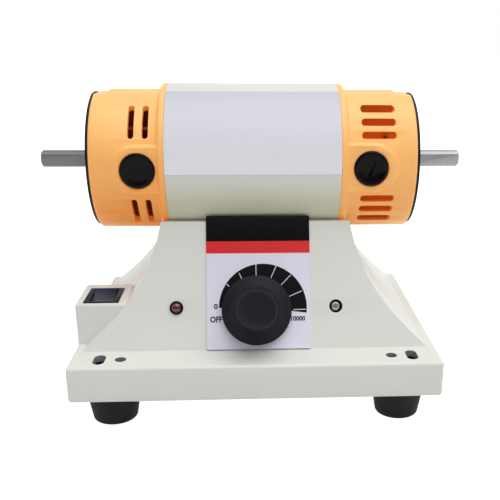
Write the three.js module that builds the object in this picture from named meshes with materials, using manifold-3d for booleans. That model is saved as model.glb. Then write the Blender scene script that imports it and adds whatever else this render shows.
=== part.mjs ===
// Bench polishing machine: a universal motor with a spindle end at each side,
// held in the saddle of a cast pedestal that carries the speed dial and the switch.
// Millimetres, +Z up, +X to the right of someone facing the dial, -Y towards them.
// The origin is on the table, under the middle of the base.

import * as THREE from 'three';
import { mergeVertices } from 'three/addons/utils/BufferGeometryUtils.js';
import Module from 'manifold-3d';

const wasm = await Module();
wasm.setup();

// Base
const baseWidth = 165;
const baseDepth = 125;
const skirtHeight = 16.6;
const baseCornerRadius = 1.5;
const castWall = 3;
const footHeight = 19.7;
const footTopRadius = 13.6;
const footBottomRadius = 10.3;
const footInsetX = 15.3;
const footInsetY = 25.5;

// Pedestal
const towerRise = 54.2;
const towerTopMargin = 1.2;
const towerSideMargin = 2.5;
const towerRearMargin = 3.2;
const towerLean = 22;
const saddleWall = 3.6;

// Motor
const motorShiftX = -0.7;
const motorAxisY = 7.2;
const motorAxisZ = 114.6;
const sleeveRadius = 35.4;
const sleeveLength = 78.6;
const sleeveWall = 1.2;
const lipWidth = 3;
const bellRadius = 32.7;
const bellWall = 3;
const leftBellLength = 30.7;
const rightBellLength = 31.8;
const endPlateThickness = 1.3;
const spindleRadius = 4;
const spindleLength = 201.7;
const spindleShiftX = -0.05;

// Front panel, measured up the leaning face from the deck, just short of the sleeve
const panelWidth = 47.4;
const panelShift = 0.9;
const panelTopGap = 0.67;
const panelThickness = 1;
const dialHeight = 17.7;
const knobRadius = 15.8;
const knobHeight = 17.5;
const sideHoleOffset = 36.4;
const sideHoleHeight = 19.3;

// Switch
const switchBoxWidth = 23.5;
const switchBoxDepth = 28;
const switchBoxHeight = 19.7;
const switchBoxFrontSetback = 8.9;
const switchFlangeWidth = 15.9;
const switchFlangeDepth = 19.2;
const switchFlangeMargin = 1;

// Clearances and overrun
const fitGap = 0.3;
const runningGap = 0.6;
const overrun = 1;

// Facets round large, middling and small circles
const largeSides = 32;
const middleSides = 14;
const smallSides = 8;
const hexSides = 6;

// Derived places
const deckTop = footHeight + skirtHeight;
const towerTop = deckTop + towerRise;
const lean = THREE.MathUtils.degToRad(towerLean);
const towerTopWidth = sleeveLength + 2 * (lipWidth + towerTopMargin);
const towerFootWidth = baseWidth - 2 * towerSideMargin;
const towerFootDepth = baseDepth - 2 * (towerRearMargin + motorAxisY);
const towerFrontFoot = motorAxisY - towerFootDepth / 2;
const sleeveHalf = sleeveLength / 2;
const lipOuter = sleeveHalf + lipWidth;
const footCorners = [[-1, -1], [1, -1], [-1, 1], [1, 1]];
const footX = baseWidth / 2 - footInsetX;
const footY = baseDepth / 2 - footInsetY;
const footPlaces = footCorners.map(([x, y]) => [x * footX, y * footY]);
const footNames = ['front_left', 'front_right', 'rear_left', 'rear_right'];

// Finishes
const finish = (color, roughness, metalness = 0) =>
  new THREE.MeshStandardMaterial({ color, roughness, metalness });
const finishes = {
  creamEnamel: () => finish(0xdedfd6, 0.45),
  orangeNylon: () => finish(0xfdb96b, 0.5),
  labelFilm: () => finish(0xd3d3dd, 0.4),
  panelFilm: () => finish(0xcfcdda, 0.4),
  blackPhenolic: () => finish(0x151517, 0.25),
  blackRubber: () => finish(0x1e1f1f, 0.85),
  mattBlack: () => finish(0x232326, 0.6),
  slateNylon: () => finish(0x323446, 0.4),
  redLens: () => finish(0x6e1e28, 0.2),
  groundSteel: () => finish(0xb4b4b6, 0.3, 1),
  zincSteel: () => finish(0xa8aaab, 0.4, 1),
  siliconSteel: () => finish(0x77787a, 0.5, 1),
  copper: () => finish(0xb5713f, 0.35, 1),
  brass: () => finish(0xc9a558, 0.35, 1),
  carbon: () => finish(0x2b2b2d, 0.8),
  boardGlass: () => finish(0x2f6b3d, 0.5),
  capacitorBlue: () => finish(0x2b4a8c, 0.4),
};

// Solids from closed geometry, and back
function solidOf(geometry) {
  const bare = geometry.clone();
  bare.deleteAttribute('normal');
  bare.deleteAttribute('uv');
  const merged = mergeVertices(bare);
  const index = [...merged.index.array];
  const triVerts = [];
  for (let i = 0; i < index.length; i += 3) {
    const [a, b, c] = index.slice(i, i + 3);
    if (a !== b && b !== c && c !== a) triVerts.push(a, b, c);
  }
  const vertProperties = new Float32Array(merged.attributes.position.array);
  const manifoldOf = (corners) =>
    new wasm.Manifold(new wasm.Mesh({ numProp: 3, vertProperties, triVerts: new Uint32Array(corners) }));
  const solid = manifoldOf(triVerts);
  return solid.volume() < 0 ? manifoldOf(triVerts.reverse()) : solid;
}

function geometryOf(solid) {
  const mesh = solid.getMesh();
  const geometry = new THREE.BufferGeometry();
  geometry.setAttribute('position', new THREE.BufferAttribute(new Float32Array(mesh.vertProperties), 3));
  geometry.setIndex([...mesh.triVerts]);
  const flat = geometry.toNonIndexed();
  flat.computeVertexNormals();
  return flat;
}

const join = (first, ...others) => others.reduce((sum, next) => sum.add(next), first);
const cut = (first, ...others) => others.reduce((rest, next) => rest.subtract(next), first);

// A turned solid about Z from [radius, height] points, closed on itself or on the axis
function turned(profile, sides) {
  const points = profile.map(([radius, height]) => new THREE.Vector2(radius, height));
  const onAxis = profile[0][0] === 0 && profile[profile.length - 1][0] === 0;
  if (!onAxis) points.push(points[0].clone());
  return new THREE.LatheGeometry(points, sides).rotateX(Math.PI / 2);
}

const disc = (radius, from, to, sides = middleSides) =>
  turned([[0, from], [radius, from], [radius, to], [0, to]], sides);
const ring = (outer, inner, from, to, sides = middleSides) =>
  turned([[inner, from], [outer, from], [outer, to], [inner, to]], sides);
const prism = (shape, depth, curveSegments = 2) =>
  new THREE.ExtrudeGeometry(shape, { depth, bevelEnabled: false, curveSegments });
const box = (x, y, z) => new THREE.BoxGeometry(x, y, z);
const polygon = (points) => new THREE.Shape(points.map(([x, y]) => new THREE.Vector2(x, y)));
const alongX = (geometry) => geometry.rotateY(Math.PI / 2);
const alongY = (geometry) => geometry.rotateX(-Math.PI / 2);
const towardsFront = (geometry) => geometry.rotateX(Math.PI / 2);

function roundedRectangle(width, depth, radius) {
  const x = width / 2 - radius;
  const y = depth / 2 - radius;
  const shape = new THREE.Shape();
  shape.absarc(x, y, radius, 0, Math.PI / 2);
  shape.absarc(-x, y, radius, Math.PI / 2, Math.PI);
  shape.absarc(-x, -y, radius, Math.PI, Math.PI * 1.5);
  shape.absarc(x, -y, radius, Math.PI * 1.5, Math.PI * 2);
  return shape;
}

// A slot with round ends, its length along Y
function slotShape(width, length) {
  const reach = (length - width) / 2;
  const shape = new THREE.Shape();
  shape.absarc(0, reach, width / 2, 0, Math.PI);
  shape.absarc(0, -reach, width / 2, Math.PI, Math.PI * 2);
  return shape;
}

// The leaning front face: X stays X, Y runs up the face, Z points out of it
const panelFrame = new THREE.Group();
panelFrame.position.set(0, towerFrontFoot, deckTop);
panelFrame.rotation.x = Math.PI / 2 - lean;
panelFrame.updateMatrixWorld(true);
const onFace = (geometry) => geometry.applyMatrix4(panelFrame.matrixWorld);

// The motor's axis, along X
const motorFrame = new THREE.Group();
motorFrame.position.set(motorShiftX, motorAxisY, motorAxisZ);
motorFrame.updateMatrixWorld(true);
const onMotor = (geometry) => geometry.applyMatrix4(motorFrame.matrixWorld);

const machine = new THREE.Group();

function addPiece(name, solid, material, frame = machine) {
  const mesh = new THREE.Mesh(geometryOf(solid), material);
  mesh.name = name;
  frame.add(mesh);
}

// Fastener sizes: a cross-recess pan head over a plain shank
const crossRecessShare = 0.22;

function panScrew(headRadius, headHeight, shankRadius, shankLength) {
  const slot = headRadius * crossRecessShare;
  const body = solidOf(turned([
    [0, -shankLength], [shankRadius, -shankLength], [shankRadius, 0],
    [headRadius, 0], [headRadius, headHeight / 2], [headRadius / 2, headHeight], [0, headHeight],
  ], smallSides));
  const armX = solidOf(box(headRadius, slot, headHeight).translate(0, 0, headHeight));
  const armY = solidOf(box(slot, headRadius, headHeight).translate(0, 0, headHeight));
  return cut(body, armX, armY);
}

// Feet, their screws and the sheet cover that closes the base
const footScrewRadius = 2;
const footRecessRadius = 5.4;
const footRecessDepth = 12;
const footHeadRadius = 4;
const footHeadHeight = 2.6;
const footEdge = 1;
const coverThickness = 1.2;
const footBossRadius = 5;
const footScrewReach = 11;
const coverTop = footHeight + coverThickness;

function foot() {
  const bore = footScrewRadius + fitGap;
  return solidOf(turned([
    [footRecessRadius, 0], [footBottomRadius - footEdge, 0], [footBottomRadius, footEdge],
    [footTopRadius, footHeight - footEdge], [footTopRadius, footHeight], [bore, footHeight],
    [bore, footRecessDepth], [footRecessRadius, footRecessDepth],
  ], middleSides));
}

function footScrew() {
  const length = footHeight - footRecessDepth + coverThickness + footScrewReach;
  return panScrew(footHeadRadius, footHeadHeight, footScrewRadius, length);
}

const pillarRadius = 3;
const pillarHeight = 5;
const boardWidth = 62;
const boardDepth = 44;
const boardThickness = 1.6;
const boardX = 8;
const pillarInset = 5;

function bottomCover() {
  const width = baseWidth - 2 * (castWall + fitGap);
  const depth = baseDepth - 2 * (castWall + fitGap);
  let cover = solidOf(prism(roundedRectangle(width, depth, baseCornerRadius), coverThickness));
  for (const [x, y] of footPlaces) {
    const hole = disc(footScrewRadius + fitGap, -overrun, coverThickness + overrun, smallSides);
    cover = cut(cover, solidOf(hole.translate(x, y, 0)));
  }
  for (const side of [-1, 1]) {
    for (const end of [-1, 1]) {
      const x = boardX + side * (boardWidth / 2 - pillarInset);
      const y = end * (boardDepth / 2 - pillarInset);
      const pillar = disc(pillarRadius, 0, coverThickness + pillarHeight, smallSides);
      cover = join(cover, solidOf(pillar.translate(x, y, 0)));
    }
  }
  return cover;
}

footPlaces.forEach(([x, y], i) => {
  const frame = new THREE.Group();
  frame.position.set(x, y, 0);
  machine.add(frame);
  addPiece(`${footNames[i]}_foot`, foot(), finishes.blackRubber(), frame);
  const screwFrame = new THREE.Group();
  screwFrame.position.z = footRecessDepth;
  screwFrame.rotation.x = Math.PI;
  frame.add(screwFrame);
  addPiece(`${footNames[i]}_foot_screw`, footScrew(), finishes.zincSteel(), screwFrame);
});

const coverFrame = new THREE.Group();
coverFrame.position.z = footHeight;
machine.add(coverFrame);
addPiece('bottom_cover', bottomCover(), finishes.zincSteel(), coverFrame);

// Speed control behind the front face
const bushingRadius = 3.5;
const potBodyRadius = 11.5;
const potBodyDepth = 9;
const potShaftRadius = 3;
const nutAcrossFlats = 10;
const nutThickness = 2;
const bushingReach = 4.5;
const knobGap = 1.2;

// Indicator lamp, and the screw that clamps the triac to the casting
const lampFlangeRadius = 3.1;
const lampFlangeHeight = 0.8;
const lampTubeRadius = 2.8;
const lampTubeReach = 5;
const lensRadius = 2.5;
const lensRise = 1.9;
const triacHoleRadius = 3.05;
const triacRecess = 2.4;
const triacScrewRadius = 1.5;
const triacHeadRadius = 2.3;
const triacHeadHeight = 1.4;
const triacScrewLength = 9;
const triacBossRadius = 5.5;
const triacBossDepth = 4;

// Saddle bolts
const saddleBoltRadius = 2;
const saddleBoltPitch = 44;
const saddleBossRadius = 5;
const saddleBossDrop = 3.6;
const saddleBoltHeadRadius = 3.5;
const saddleBoltHeadHeight = 2.6;
const saddleBoltReach = 3.8;

// Holes in the deck beside the front feet, and the cable inlet at the rear
const deckSlotWidth = 5.2;
const deckSlotLength = 9.6;
const deckSlotInset = 13.1;
const deckHoleRadius = 2.5;
const deckHoleInset = 22.3;
const deckFrontInset = 8.9;
const grommetInset = 37.5;
const grommetRadius = 3.8;
const grommetBore = 2.5;
const grommetFlangeRadius = 5.3;
const grommetFlange = 1.5;

// Switch housing below its flange
const switchBodyWidth = 12.6;
const switchBodyDepth = 18;
const switchBodyHeight = 13;
const switchFlangeHeight = 0.5;
const switchSeatHeight = 6;
const rockerWidth = 10.6;
const rockerDepth = 15.6;

const switchBoxTop = deckTop + switchBoxHeight;
const switchBoxLeft = -baseWidth / 2;
const switchBoxFront = towerFrontFoot + switchBoxFrontSetback;
const switchX = switchBoxLeft + switchBoxWidth / 2;
const switchY = switchBoxFront + switchFlangeMargin + switchFlangeDepth / 2;
const inletHeight = (coverTop + deckTop - castWall) / 2;
const grommetX = grommetInset - baseWidth / 2;
const deckHoleY = deckFrontInset - baseDepth / 2;
const saddleRadius = sleeveRadius + fitGap;
const saddleBossBottom = motorAxisZ - sleeveRadius - fitGap - saddleWall - saddleBossDrop;

// Control points of the flank's curve, as shares of its spread and its rise
const flankShares = [[0.13, 0.548], [0.43, 0.327]];
const flankSteps = 12;
const flankInsetShare = 2.2;

// The pedestal's outline seen from the front, moved in by a wall
function towerOutline(inset) {
  const topHalf = towerTopWidth / 2 - inset;
  const footHalf = towerFootWidth / 2 - inset * flankInsetShare;
  const foot = deckTop - castWall / 2 - inset / 2;
  const rise = towerTop - foot;
  const spread = footHalf - topHalf;
  const place = ([out, up]) => new THREE.Vector2(topHalf + out * spread, foot + up * rise);
  const controls = flankShares.map(place);
  const flank = new THREE.CubicBezierCurve(
    new THREE.Vector2(topHalf, towerTop), controls[0], controls[1], new THREE.Vector2(footHalf, foot),
  ).getPoints(flankSteps);
  const mirrored = flank.map((p) => new THREE.Vector2(-p.x, p.y)).reverse();
  return new THREE.Shape([...flank, ...mirrored]);
}

// The same body seen from the side: a trapezium that leans in at the front and the rear
function towerSide(inset) {
  const slope = Math.tan(lean);
  const half = towerFootDepth / 2 - inset / Math.cos(lean);
  const low = half + castWall * slope;
  const high = half - towerRise * slope;
  const under = deckTop - castWall;
  return polygon([[-low, under], [low, under], [high, towerTop], [-high, towerTop]]);
}

function towerBody(inset) {
  const depth = towerFootDepth + 2 * castWall;
  const outline = towardsFront(prism(towerOutline(inset), depth)).translate(0, motorAxisY + depth / 2, 0);
  const side = prism(towerSide(inset), towerFootWidth).rotateX(Math.PI / 2).rotateZ(Math.PI / 2);
  side.translate(-towerFootWidth / 2, motorAxisY, 0);
  return solidOf(outline).intersect(solidOf(side));
}

function blockBetween(left, right, front, rear, bottom, top) {
  const block = box(right - left, rear - front, top - bottom);
  return solidOf(block.translate((left + right) / 2, (front + rear) / 2, (bottom + top) / 2));
}

function castingOutside() {
  const skirt = prism(roundedRectangle(baseWidth, baseDepth, baseCornerRadius), skirtHeight);
  const switchBox = blockBetween(
    switchBoxLeft, switchBoxLeft + switchBoxWidth, switchBoxFront, switchBoxFront + switchBoxDepth,
    deckTop - castWall, switchBoxTop,
  );
  return join(solidOf(skirt.translate(0, 0, footHeight)), towerBody(0), switchBox);
}

function castingHollow() {
  const width = baseWidth - 2 * castWall;
  const depth = baseDepth - 2 * castWall;
  const under = deckTop - castWall;
  const base = prism(roundedRectangle(width, depth, baseCornerRadius), under - footHeight + overrun);
  const drum = solidOf(onMotor(alongX(disc(saddleRadius + saddleWall, -baseWidth, baseWidth, largeSides))));
  const switchWell = blockBetween(
    switchBoxLeft + castWall, switchBoxLeft + switchBoxWidth, switchBoxFront + castWall,
    switchBoxFront + switchBoxDepth - castWall, under - overrun, switchBoxTop - castWall,
  );
  const below = solidOf(base.translate(0, 0, footHeight - overrun));
  let hollow = join(below, cut(towerBody(castWall), drum), switchWell);
  for (const side of [-1, 1]) {
    const boss = disc(saddleBossRadius, saddleBossBottom, towerTop, middleSides);
    hollow = cut(hollow, solidOf(boss.translate(motorShiftX + side * saddleBoltPitch / 2, motorAxisY, 0)));
  }
  for (const [x, y] of footPlaces) {
    hollow = cut(hollow, solidOf(disc(footBossRadius, coverTop, deckTop, middleSides).translate(x, y, 0)));
  }
  const triacBoss = disc(triacBossRadius, -castWall - triacBossDepth, 0);
  return cut(hollow, solidOf(onFace(triacBoss.translate(sideHoleOffset, sideHoleHeight, 0))));
}

function faceHole(radius, depth, x, y) {
  return solidOf(onFace(disc(radius, -depth, overrun).translate(x, y, 0)));
}

function castingHoles() {
  const through = castWall + triacBossDepth + overrun;
  const switchRoom = switchBodyHeight + overrun;
  const switchHole = box(switchBodyWidth + 2 * fitGap, switchBodyDepth + 2 * fitGap, 2 * switchRoom);
  const seat = box(switchFlangeWidth + 2 * fitGap, switchFlangeDepth + 2 * fitGap, switchSeatHeight);
  const inlet = alongY(disc(grommetRadius + fitGap, 0, baseDepth));
  const holes = [
    solidOf(onMotor(alongX(disc(saddleRadius, -baseWidth, baseWidth, largeSides)))),
    faceHole(bushingRadius + fitGap, through, 0, dialHeight),
    faceHole(lampTubeRadius + fitGap, through, -sideHoleOffset, sideHoleHeight),
    faceHole(triacHoleRadius, triacRecess, sideHoleOffset, sideHoleHeight),
    faceHole(triacScrewRadius + fitGap, through, sideHoleOffset, sideHoleHeight),
    solidOf(switchHole.translate(switchX, switchY, switchBoxTop)),
    solidOf(seat.translate(switchX, switchY, switchBoxTop + switchSeatHeight / 2)),
    solidOf(inlet.translate(grommetX, 0, inletHeight)),
  ];
  for (const side of [-1, 1]) {
    const slot = prism(slotShape(deckSlotWidth, deckSlotLength), 4 * castWall);
    const slotX = side * (baseWidth / 2 - deckSlotInset);
    holes.push(solidOf(slot.translate(slotX, deckHoleY, deckTop - 2 * castWall)));
    const round = disc(deckHoleRadius, deckTop - 2 * castWall, deckTop + overrun, smallSides);
    holes.push(solidOf(round.translate(side * (baseWidth / 2 - deckHoleInset), deckHoleY, 0)));
    const bolt = disc(saddleBoltRadius + fitGap, saddleBossBottom - overrun, towerTop, smallSides);
    holes.push(solidOf(bolt.translate(motorShiftX + side * saddleBoltPitch / 2, motorAxisY, 0)));
  }
  for (const [x, y] of footPlaces) {
    const pilot = disc(footScrewRadius + fitGap, footHeight, coverTop + footScrewReach + fitGap, smallSides);
    holes.push(solidOf(pilot.translate(x, y, 0)));
  }
  return holes;
}

addPiece('base_casting', cut(castingOutside(), castingHollow(), ...castingHoles()), finishes.creamEnamel());

// Rubber grommet in the rear skirt, where the mains lead enters
function cableGrommet() {
  const inside = -castWall - fitGap;
  return solidOf(turned([
    [grommetBore, inside - grommetFlange], [grommetFlangeRadius, inside - grommetFlange],
    [grommetFlangeRadius, inside], [grommetRadius, inside], [grommetRadius, 0], [grommetFlangeRadius, 0],
    [grommetFlangeRadius, grommetFlange / 2], [grommetRadius, grommetFlange], [grommetBore, grommetFlange],
  ], middleSides));
}

const inletFrame = new THREE.Group();
inletFrame.position.set(grommetX, baseDepth / 2, inletHeight);
inletFrame.rotation.x = -Math.PI / 2;
machine.add(inletFrame);
addPiece('cable_grommet', cableGrommet(), finishes.blackRubber(), inletFrame);

// Printed plate on the leaning face, drilled for the speed control
const panelCornerRadius = 0.5;

// How far up the leaning face the sleeve's round comes down to it
function faceMeetsSleeve() {
  const radius = sleeveRadius + fitGap;
  const up = motorAxisZ - deckTop;
  const behind = up * Math.sin(lean) - towerFootDepth / 2 * Math.cos(lean);
  const along = up * Math.cos(lean) + towerFootDepth / 2 * Math.sin(lean);
  return along - Math.sqrt(radius ** 2 - behind ** 2);
}

function controlPanel() {
  const panelHeight = faceMeetsSleeve() - panelTopGap - fitGap;
  const plate = prism(roundedRectangle(panelWidth, panelHeight, panelCornerRadius), panelThickness);
  const hole = disc(bushingRadius + fitGap, -overrun, panelThickness + overrun).translate(0, dialHeight, 0);
  return cut(solidOf(plate.translate(panelShift, panelHeight / 2 + fitGap, 0)), solidOf(hole));
}

// Potentiometer: housing with its threaded bushing, nut, and the shaft that the knob turns
function potentiometerBody() {
  const back = -castWall - potBodyDepth;
  const bore = potShaftRadius + fitGap;
  return solidOf(turned([
    [0, back], [potBodyRadius, back], [potBodyRadius, -castWall], [bushingRadius, -castWall],
    [bushingRadius, bushingReach], [bore, bushingReach], [bore, back / 2], [0, back / 2],
  ], middleSides));
}

function potentiometerNut() {
  const radius = nutAcrossFlats / Math.sqrt(3);
  const hexagon = disc(radius, panelThickness, panelThickness + nutThickness, hexSides);
  const bore = disc(bushingRadius + fitGap, 0, panelThickness + nutThickness + overrun);
  return cut(solidOf(hexagon), solidOf(bore));
}

// The knob's own sizes: a flat skirt, a hollowed cone and a round cap
const knobSkirtHeight = 2.6;
const knobCapRadius = 8.6;
const knobWaistRadius = 10.2;
const knobWaistHeight = 8;
const knobCapEdge = 1.2;
const knobWellRadius = 7.4;
const knobWellDepth = 7;
const knobRoof = 3;
const knobConeSteps = 5;
const knobBase = panelThickness + knobGap;
const knobTop = knobBase + knobHeight;
const potShaftEnd = knobTop - knobRoof;

function speedKnob() {
  const cone = new THREE.QuadraticBezierCurve(
    new THREE.Vector2(knobRadius, knobBase + knobSkirtHeight),
    new THREE.Vector2(knobWaistRadius, knobBase + knobWaistHeight / 2),
    new THREE.Vector2(knobCapRadius + knobCapEdge / 2, knobBase + knobWaistHeight),
  ).getPoints(knobConeSteps).map((p) => [p.x, p.y]);
  const bore = potShaftRadius + fitGap;
  return solidOf(turned([
    [knobWellRadius, knobBase], [knobRadius - knobCapEdge / 2, knobBase],
    [knobRadius, knobBase + knobCapEdge / 2], ...cone,
    [knobCapRadius, knobTop - knobCapEdge], [knobCapRadius - knobCapEdge, knobTop], [0, knobTop],
    [0, potShaftEnd + fitGap], [bore, potShaftEnd + fitGap], [bore, knobBase + knobWellDepth],
    [knobWellRadius, knobBase + knobWellDepth],
  ], largeSides));
}

const potShaft = () => solidOf(disc(potShaftRadius, -(castWall + potBodyDepth) / 2 + fitGap, potShaftEnd));

machine.add(panelFrame);
const dialFrame = new THREE.Group();
dialFrame.position.set(0, dialHeight, 0);
panelFrame.add(dialFrame);
addPiece('control_panel', controlPanel(), finishes.panelFilm(), panelFrame);
addPiece('potentiometer_body', potentiometerBody(), finishes.zincSteel(), dialFrame);
addPiece('potentiometer_nut', potentiometerNut(), finishes.zincSteel(), dialFrame);
addPiece('potentiometer_shaft', potShaft(), finishes.brass(), dialFrame);
addPiece('speed_knob', speedKnob(), finishes.mattBlack(), dialFrame);

// Indicator lamp: a black bezel pressed into the face, with a domed red lens in it
function lampBezel() {
  const bore = lensRadius + fitGap / 2;
  return solidOf(turned([
    [bore, -lampTubeReach], [lampTubeRadius, -lampTubeReach], [lampTubeRadius, 0], [lampFlangeRadius, 0],
    [lampFlangeRadius, lampFlangeHeight / 2], [lampTubeRadius, lampFlangeHeight], [bore, lampFlangeHeight],
  ], middleSides));
}

const lensSteps = 4;

function lampLens() {
  const dome = new THREE.EllipseCurve(0, 0, lensRadius, lensRise, 0, Math.PI / 2).getPoints(lensSteps);
  const points = dome.map((p) => [p.x, p.y]);
  points[points.length - 1][0] = 0;
  return solidOf(turned([[0, -lampTubeReach], [lensRadius, -lampTubeReach], ...points], middleSides));
}

const lampFrame = new THREE.Group();
lampFrame.position.set(-sideHoleOffset, sideHoleHeight, 0);
panelFrame.add(lampFrame);
addPiece('lamp_bezel', lampBezel(), finishes.blackPhenolic(), lampFrame);
addPiece('lamp_lens', lampLens(), finishes.redLens(), lampFrame);

// Triac: a tab and a moulded body, clamped behind its boss by a screw from the front
const triacWidth = 10;
const triacTabLength = 15;
const triacTabThickness = 1.3;
const triacBodyLength = 9;
const triacBodyThickness = 4.5;
const triacTabBack = 3.2;

function triac() {
  const face = -castWall - triacBossDepth;
  const tab = box(triacWidth, triacTabLength, triacTabThickness);
  tab.translate(0, triacTabBack - triacTabLength / 2, face - triacTabThickness / 2);
  const body = box(triacWidth, triacBodyLength, triacBodyThickness);
  body.translate(0, triacTabBack - triacTabLength + triacBodyLength / 2, face - triacBodyThickness / 2);
  const hole = disc(triacScrewRadius + fitGap, face - triacBodyThickness, 0, smallSides);
  return cut(join(solidOf(tab), solidOf(body)), solidOf(hole));
}

const triacFrame = new THREE.Group();
triacFrame.position.set(sideHoleOffset, sideHoleHeight, 0);
panelFrame.add(triacFrame);
addPiece('triac', triac(), finishes.blackPhenolic(), triacFrame);
const triacScrewFrame = new THREE.Group();
triacScrewFrame.position.z = -triacRecess;
triacFrame.add(triacScrewFrame);
const triacScrew = panScrew(triacHeadRadius, triacHeadHeight, triacScrewRadius, triacScrewLength);
addPiece('triac_screw', triacScrew, finishes.zincSteel(), triacScrewFrame);

// Rocker switch: a housing with its flange, and the rocker on its pivot
const rockerTilt = 6;
const rockerRise = 0.2;
const rockerDish = 0.7;
const pivotDepth = 3;
const switchWellDepth = 6;
const rockerBackSteps = 6;

function switchBody() {
  const flange = box(switchFlangeWidth, switchFlangeDepth, switchFlangeHeight);
  flange.translate(0, 0, switchFlangeHeight / 2);
  const bodyHeight = switchBodyHeight + switchFlangeHeight / 2;
  const body = box(switchBodyWidth, switchBodyDepth, bodyHeight);
  body.translate(0, 0, bodyHeight / 2 - switchBodyHeight);
  const well = box(rockerWidth + 2 * fitGap, rockerDepth + 2 * runningGap, switchWellDepth * 2);
  return cut(join(solidOf(flange), solidOf(body)), solidOf(well));
}

// The rocker's side view: two faces that meet in a dished middle, over a round back
function switchRocker() {
  const half = rockerDepth / 2;
  const round = new THREE.EllipseCurve(0, 0, half, pivotDepth, Math.PI, Math.PI * 2);
  const back = round.getPoints(rockerBackSteps);
  const top = [[half, rockerRise], [0, rockerRise - rockerDish], [-half, rockerRise]];
  const side = polygon([...back.map((p) => [p.x, p.y]), ...top]);
  const rocker = prism(side, rockerWidth).rotateX(Math.PI / 2).rotateZ(Math.PI / 2);
  return solidOf(rocker.translate(-rockerWidth / 2, 0, 0));
}

const switchFrame = new THREE.Group();
switchFrame.position.set(switchX, switchY, switchBoxTop);
machine.add(switchFrame);
addPiece('switch_body', switchBody(), finishes.mattBlack(), switchFrame);
const rockerFrame = new THREE.Group();
rockerFrame.rotation.x = THREE.MathUtils.degToRad(rockerTilt);
switchFrame.add(rockerFrame);
addPiece('switch_rocker', switchRocker(), finishes.slateNylon(), rockerFrame);

// Circuit board on the cover's pillars, with the suppression capacitor standing on it
const capacitorWidth = 18;
const capacitorDepth = 7.5;
const capacitorHeight = 4.5;
const capacitorInset = 17;
const capacitorEdge = 0.9;

const boardFrame = new THREE.Group();
boardFrame.position.set(boardX, 0, coverTop + pillarHeight);
machine.add(boardFrame);
const board = box(boardWidth, boardDepth, boardThickness).translate(0, 0, boardThickness / 2);
addPiece('circuit_board', solidOf(board), finishes.boardGlass(), boardFrame);
const capacitor = prism(roundedRectangle(capacitorWidth, capacitorDepth, capacitorEdge), capacitorHeight);
capacitor.translate(capacitorInset - boardWidth / 2, 0, boardThickness);
addPiece('capacitor', solidOf(capacitor), finishes.capacitorBlue(), boardFrame);

// Stator: laminated yoke with two poles, above and below the rotor, and a coil round each
const rotorRadius = 16.5;
const coreLength = 40;
const airGap = 0.7;
const yokeWall = 8.2;
const poleWidth = 22;
const shoeThickness = 4;
const shoeAngle = 52;
const coilWall = 5.5;
const bellScrewRadius = 1.5;
const bellScrewCircle = 27.8;
const bellScrewStart = 10;
const bellHeadRadius = 3;
const bellHeadHeight = 1.5;

const yokeRadius = sleeveRadius - sleeveWall - fitGap;
const yokeBore = yokeRadius - yokeWall;
const boreRadius = rotorRadius + airGap;
const shoeRadius = boreRadius + shoeThickness;

function poleShoes() {
  const spread = THREE.MathUtils.degToRad(shoeAngle);
  const wedgeX = yokeRadius * 2 * Math.sin(spread);
  const wedgeY = yokeRadius * 2 * Math.cos(spread);
  const wedge = polygon([[0, 0], [-wedgeX, wedgeY], [wedgeX, wedgeY]]);
  const upper = solidOf(prism(wedge, coreLength).rotateX(Math.PI / 2).rotateZ(Math.PI / 2));
  const lower = solidOf(prism(wedge, coreLength).rotateX(Math.PI / 2).rotateZ(Math.PI / 2).rotateX(Math.PI));
  const rim = solidOf(alongX(disc(shoeRadius, 0, coreLength, largeSides)));
  return rim.intersect(join(upper, lower));
}

function statorCore() {
  const yoke = solidOf(alongX(ring(yokeRadius, yokeBore, 0, coreLength, largeSides)));
  const poles = solidOf(box(coreLength, poleWidth, 2 * yokeBore + yokeWall).translate(coreLength / 2, 0, 0));
  const bore = solidOf(alongX(disc(boreRadius, -overrun, coreLength + overrun, largeSides)));
  let core = cut(join(yoke, poles, poleShoes()), bore);
  for (const side of [-1, 1]) {
    const hole = alongX(disc(bellScrewRadius + fitGap, -overrun, coreLength + overrun, smallSides));
    core = cut(core, solidOf(hole.translate(0, 0, side * bellScrewCircle)));
  }
  core = solidOf(geometryOf(core).translate(-coreLength / 2, 0, 0));
  for (const side of [-1, 1]) {
    const top = -yokeRadius + saddleBoltReach;
    const hole = disc(saddleBoltRadius + fitGap, -yokeRadius - overrun, top, smallSides);
    core = cut(core, solidOf(hole.translate(side * saddleBoltPitch / 2, 0, 0)));
  }
  return core;
}

function fieldCoil(side) {
  const inner = shoeRadius + fitGap;
  const outer = yokeBore - fitGap;
  const height = outer - inner;
  const wall = 2 * (coilWall + fitGap);
  const around = solidOf(box(coreLength + wall, poleWidth + wall, 2 * outer));
  const window = solidOf(box(coreLength + 2 * fitGap, poleWidth + 2 * fitGap, 4 * outer));
  const shell = solidOf(alongX(ring(outer, inner, -coreLength, coreLength, largeSides)));
  const half = box(2 * coreLength, 2 * outer, 2 * height).translate(0, 0, side * (inner + height / 2));
  return cut(around, window).intersect(shell).intersect(solidOf(half));
}

machine.add(motorFrame);
addPiece('stator_core', statorCore(), finishes.siliconSteel(), motorFrame);
addPiece('upper_field_coil', fieldCoil(1), finishes.copper(), motorFrame);
addPiece('lower_field_coil', fieldCoil(-1), finishes.copper(), motorFrame);

// Enamelled steel sleeve with a plain label on its front
const labelThickness = 0.25;
const labelGap = 0.05;
const labelLowAngle = -2;
const labelHighAngle = 67;
const labelSteps = 14;

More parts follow.
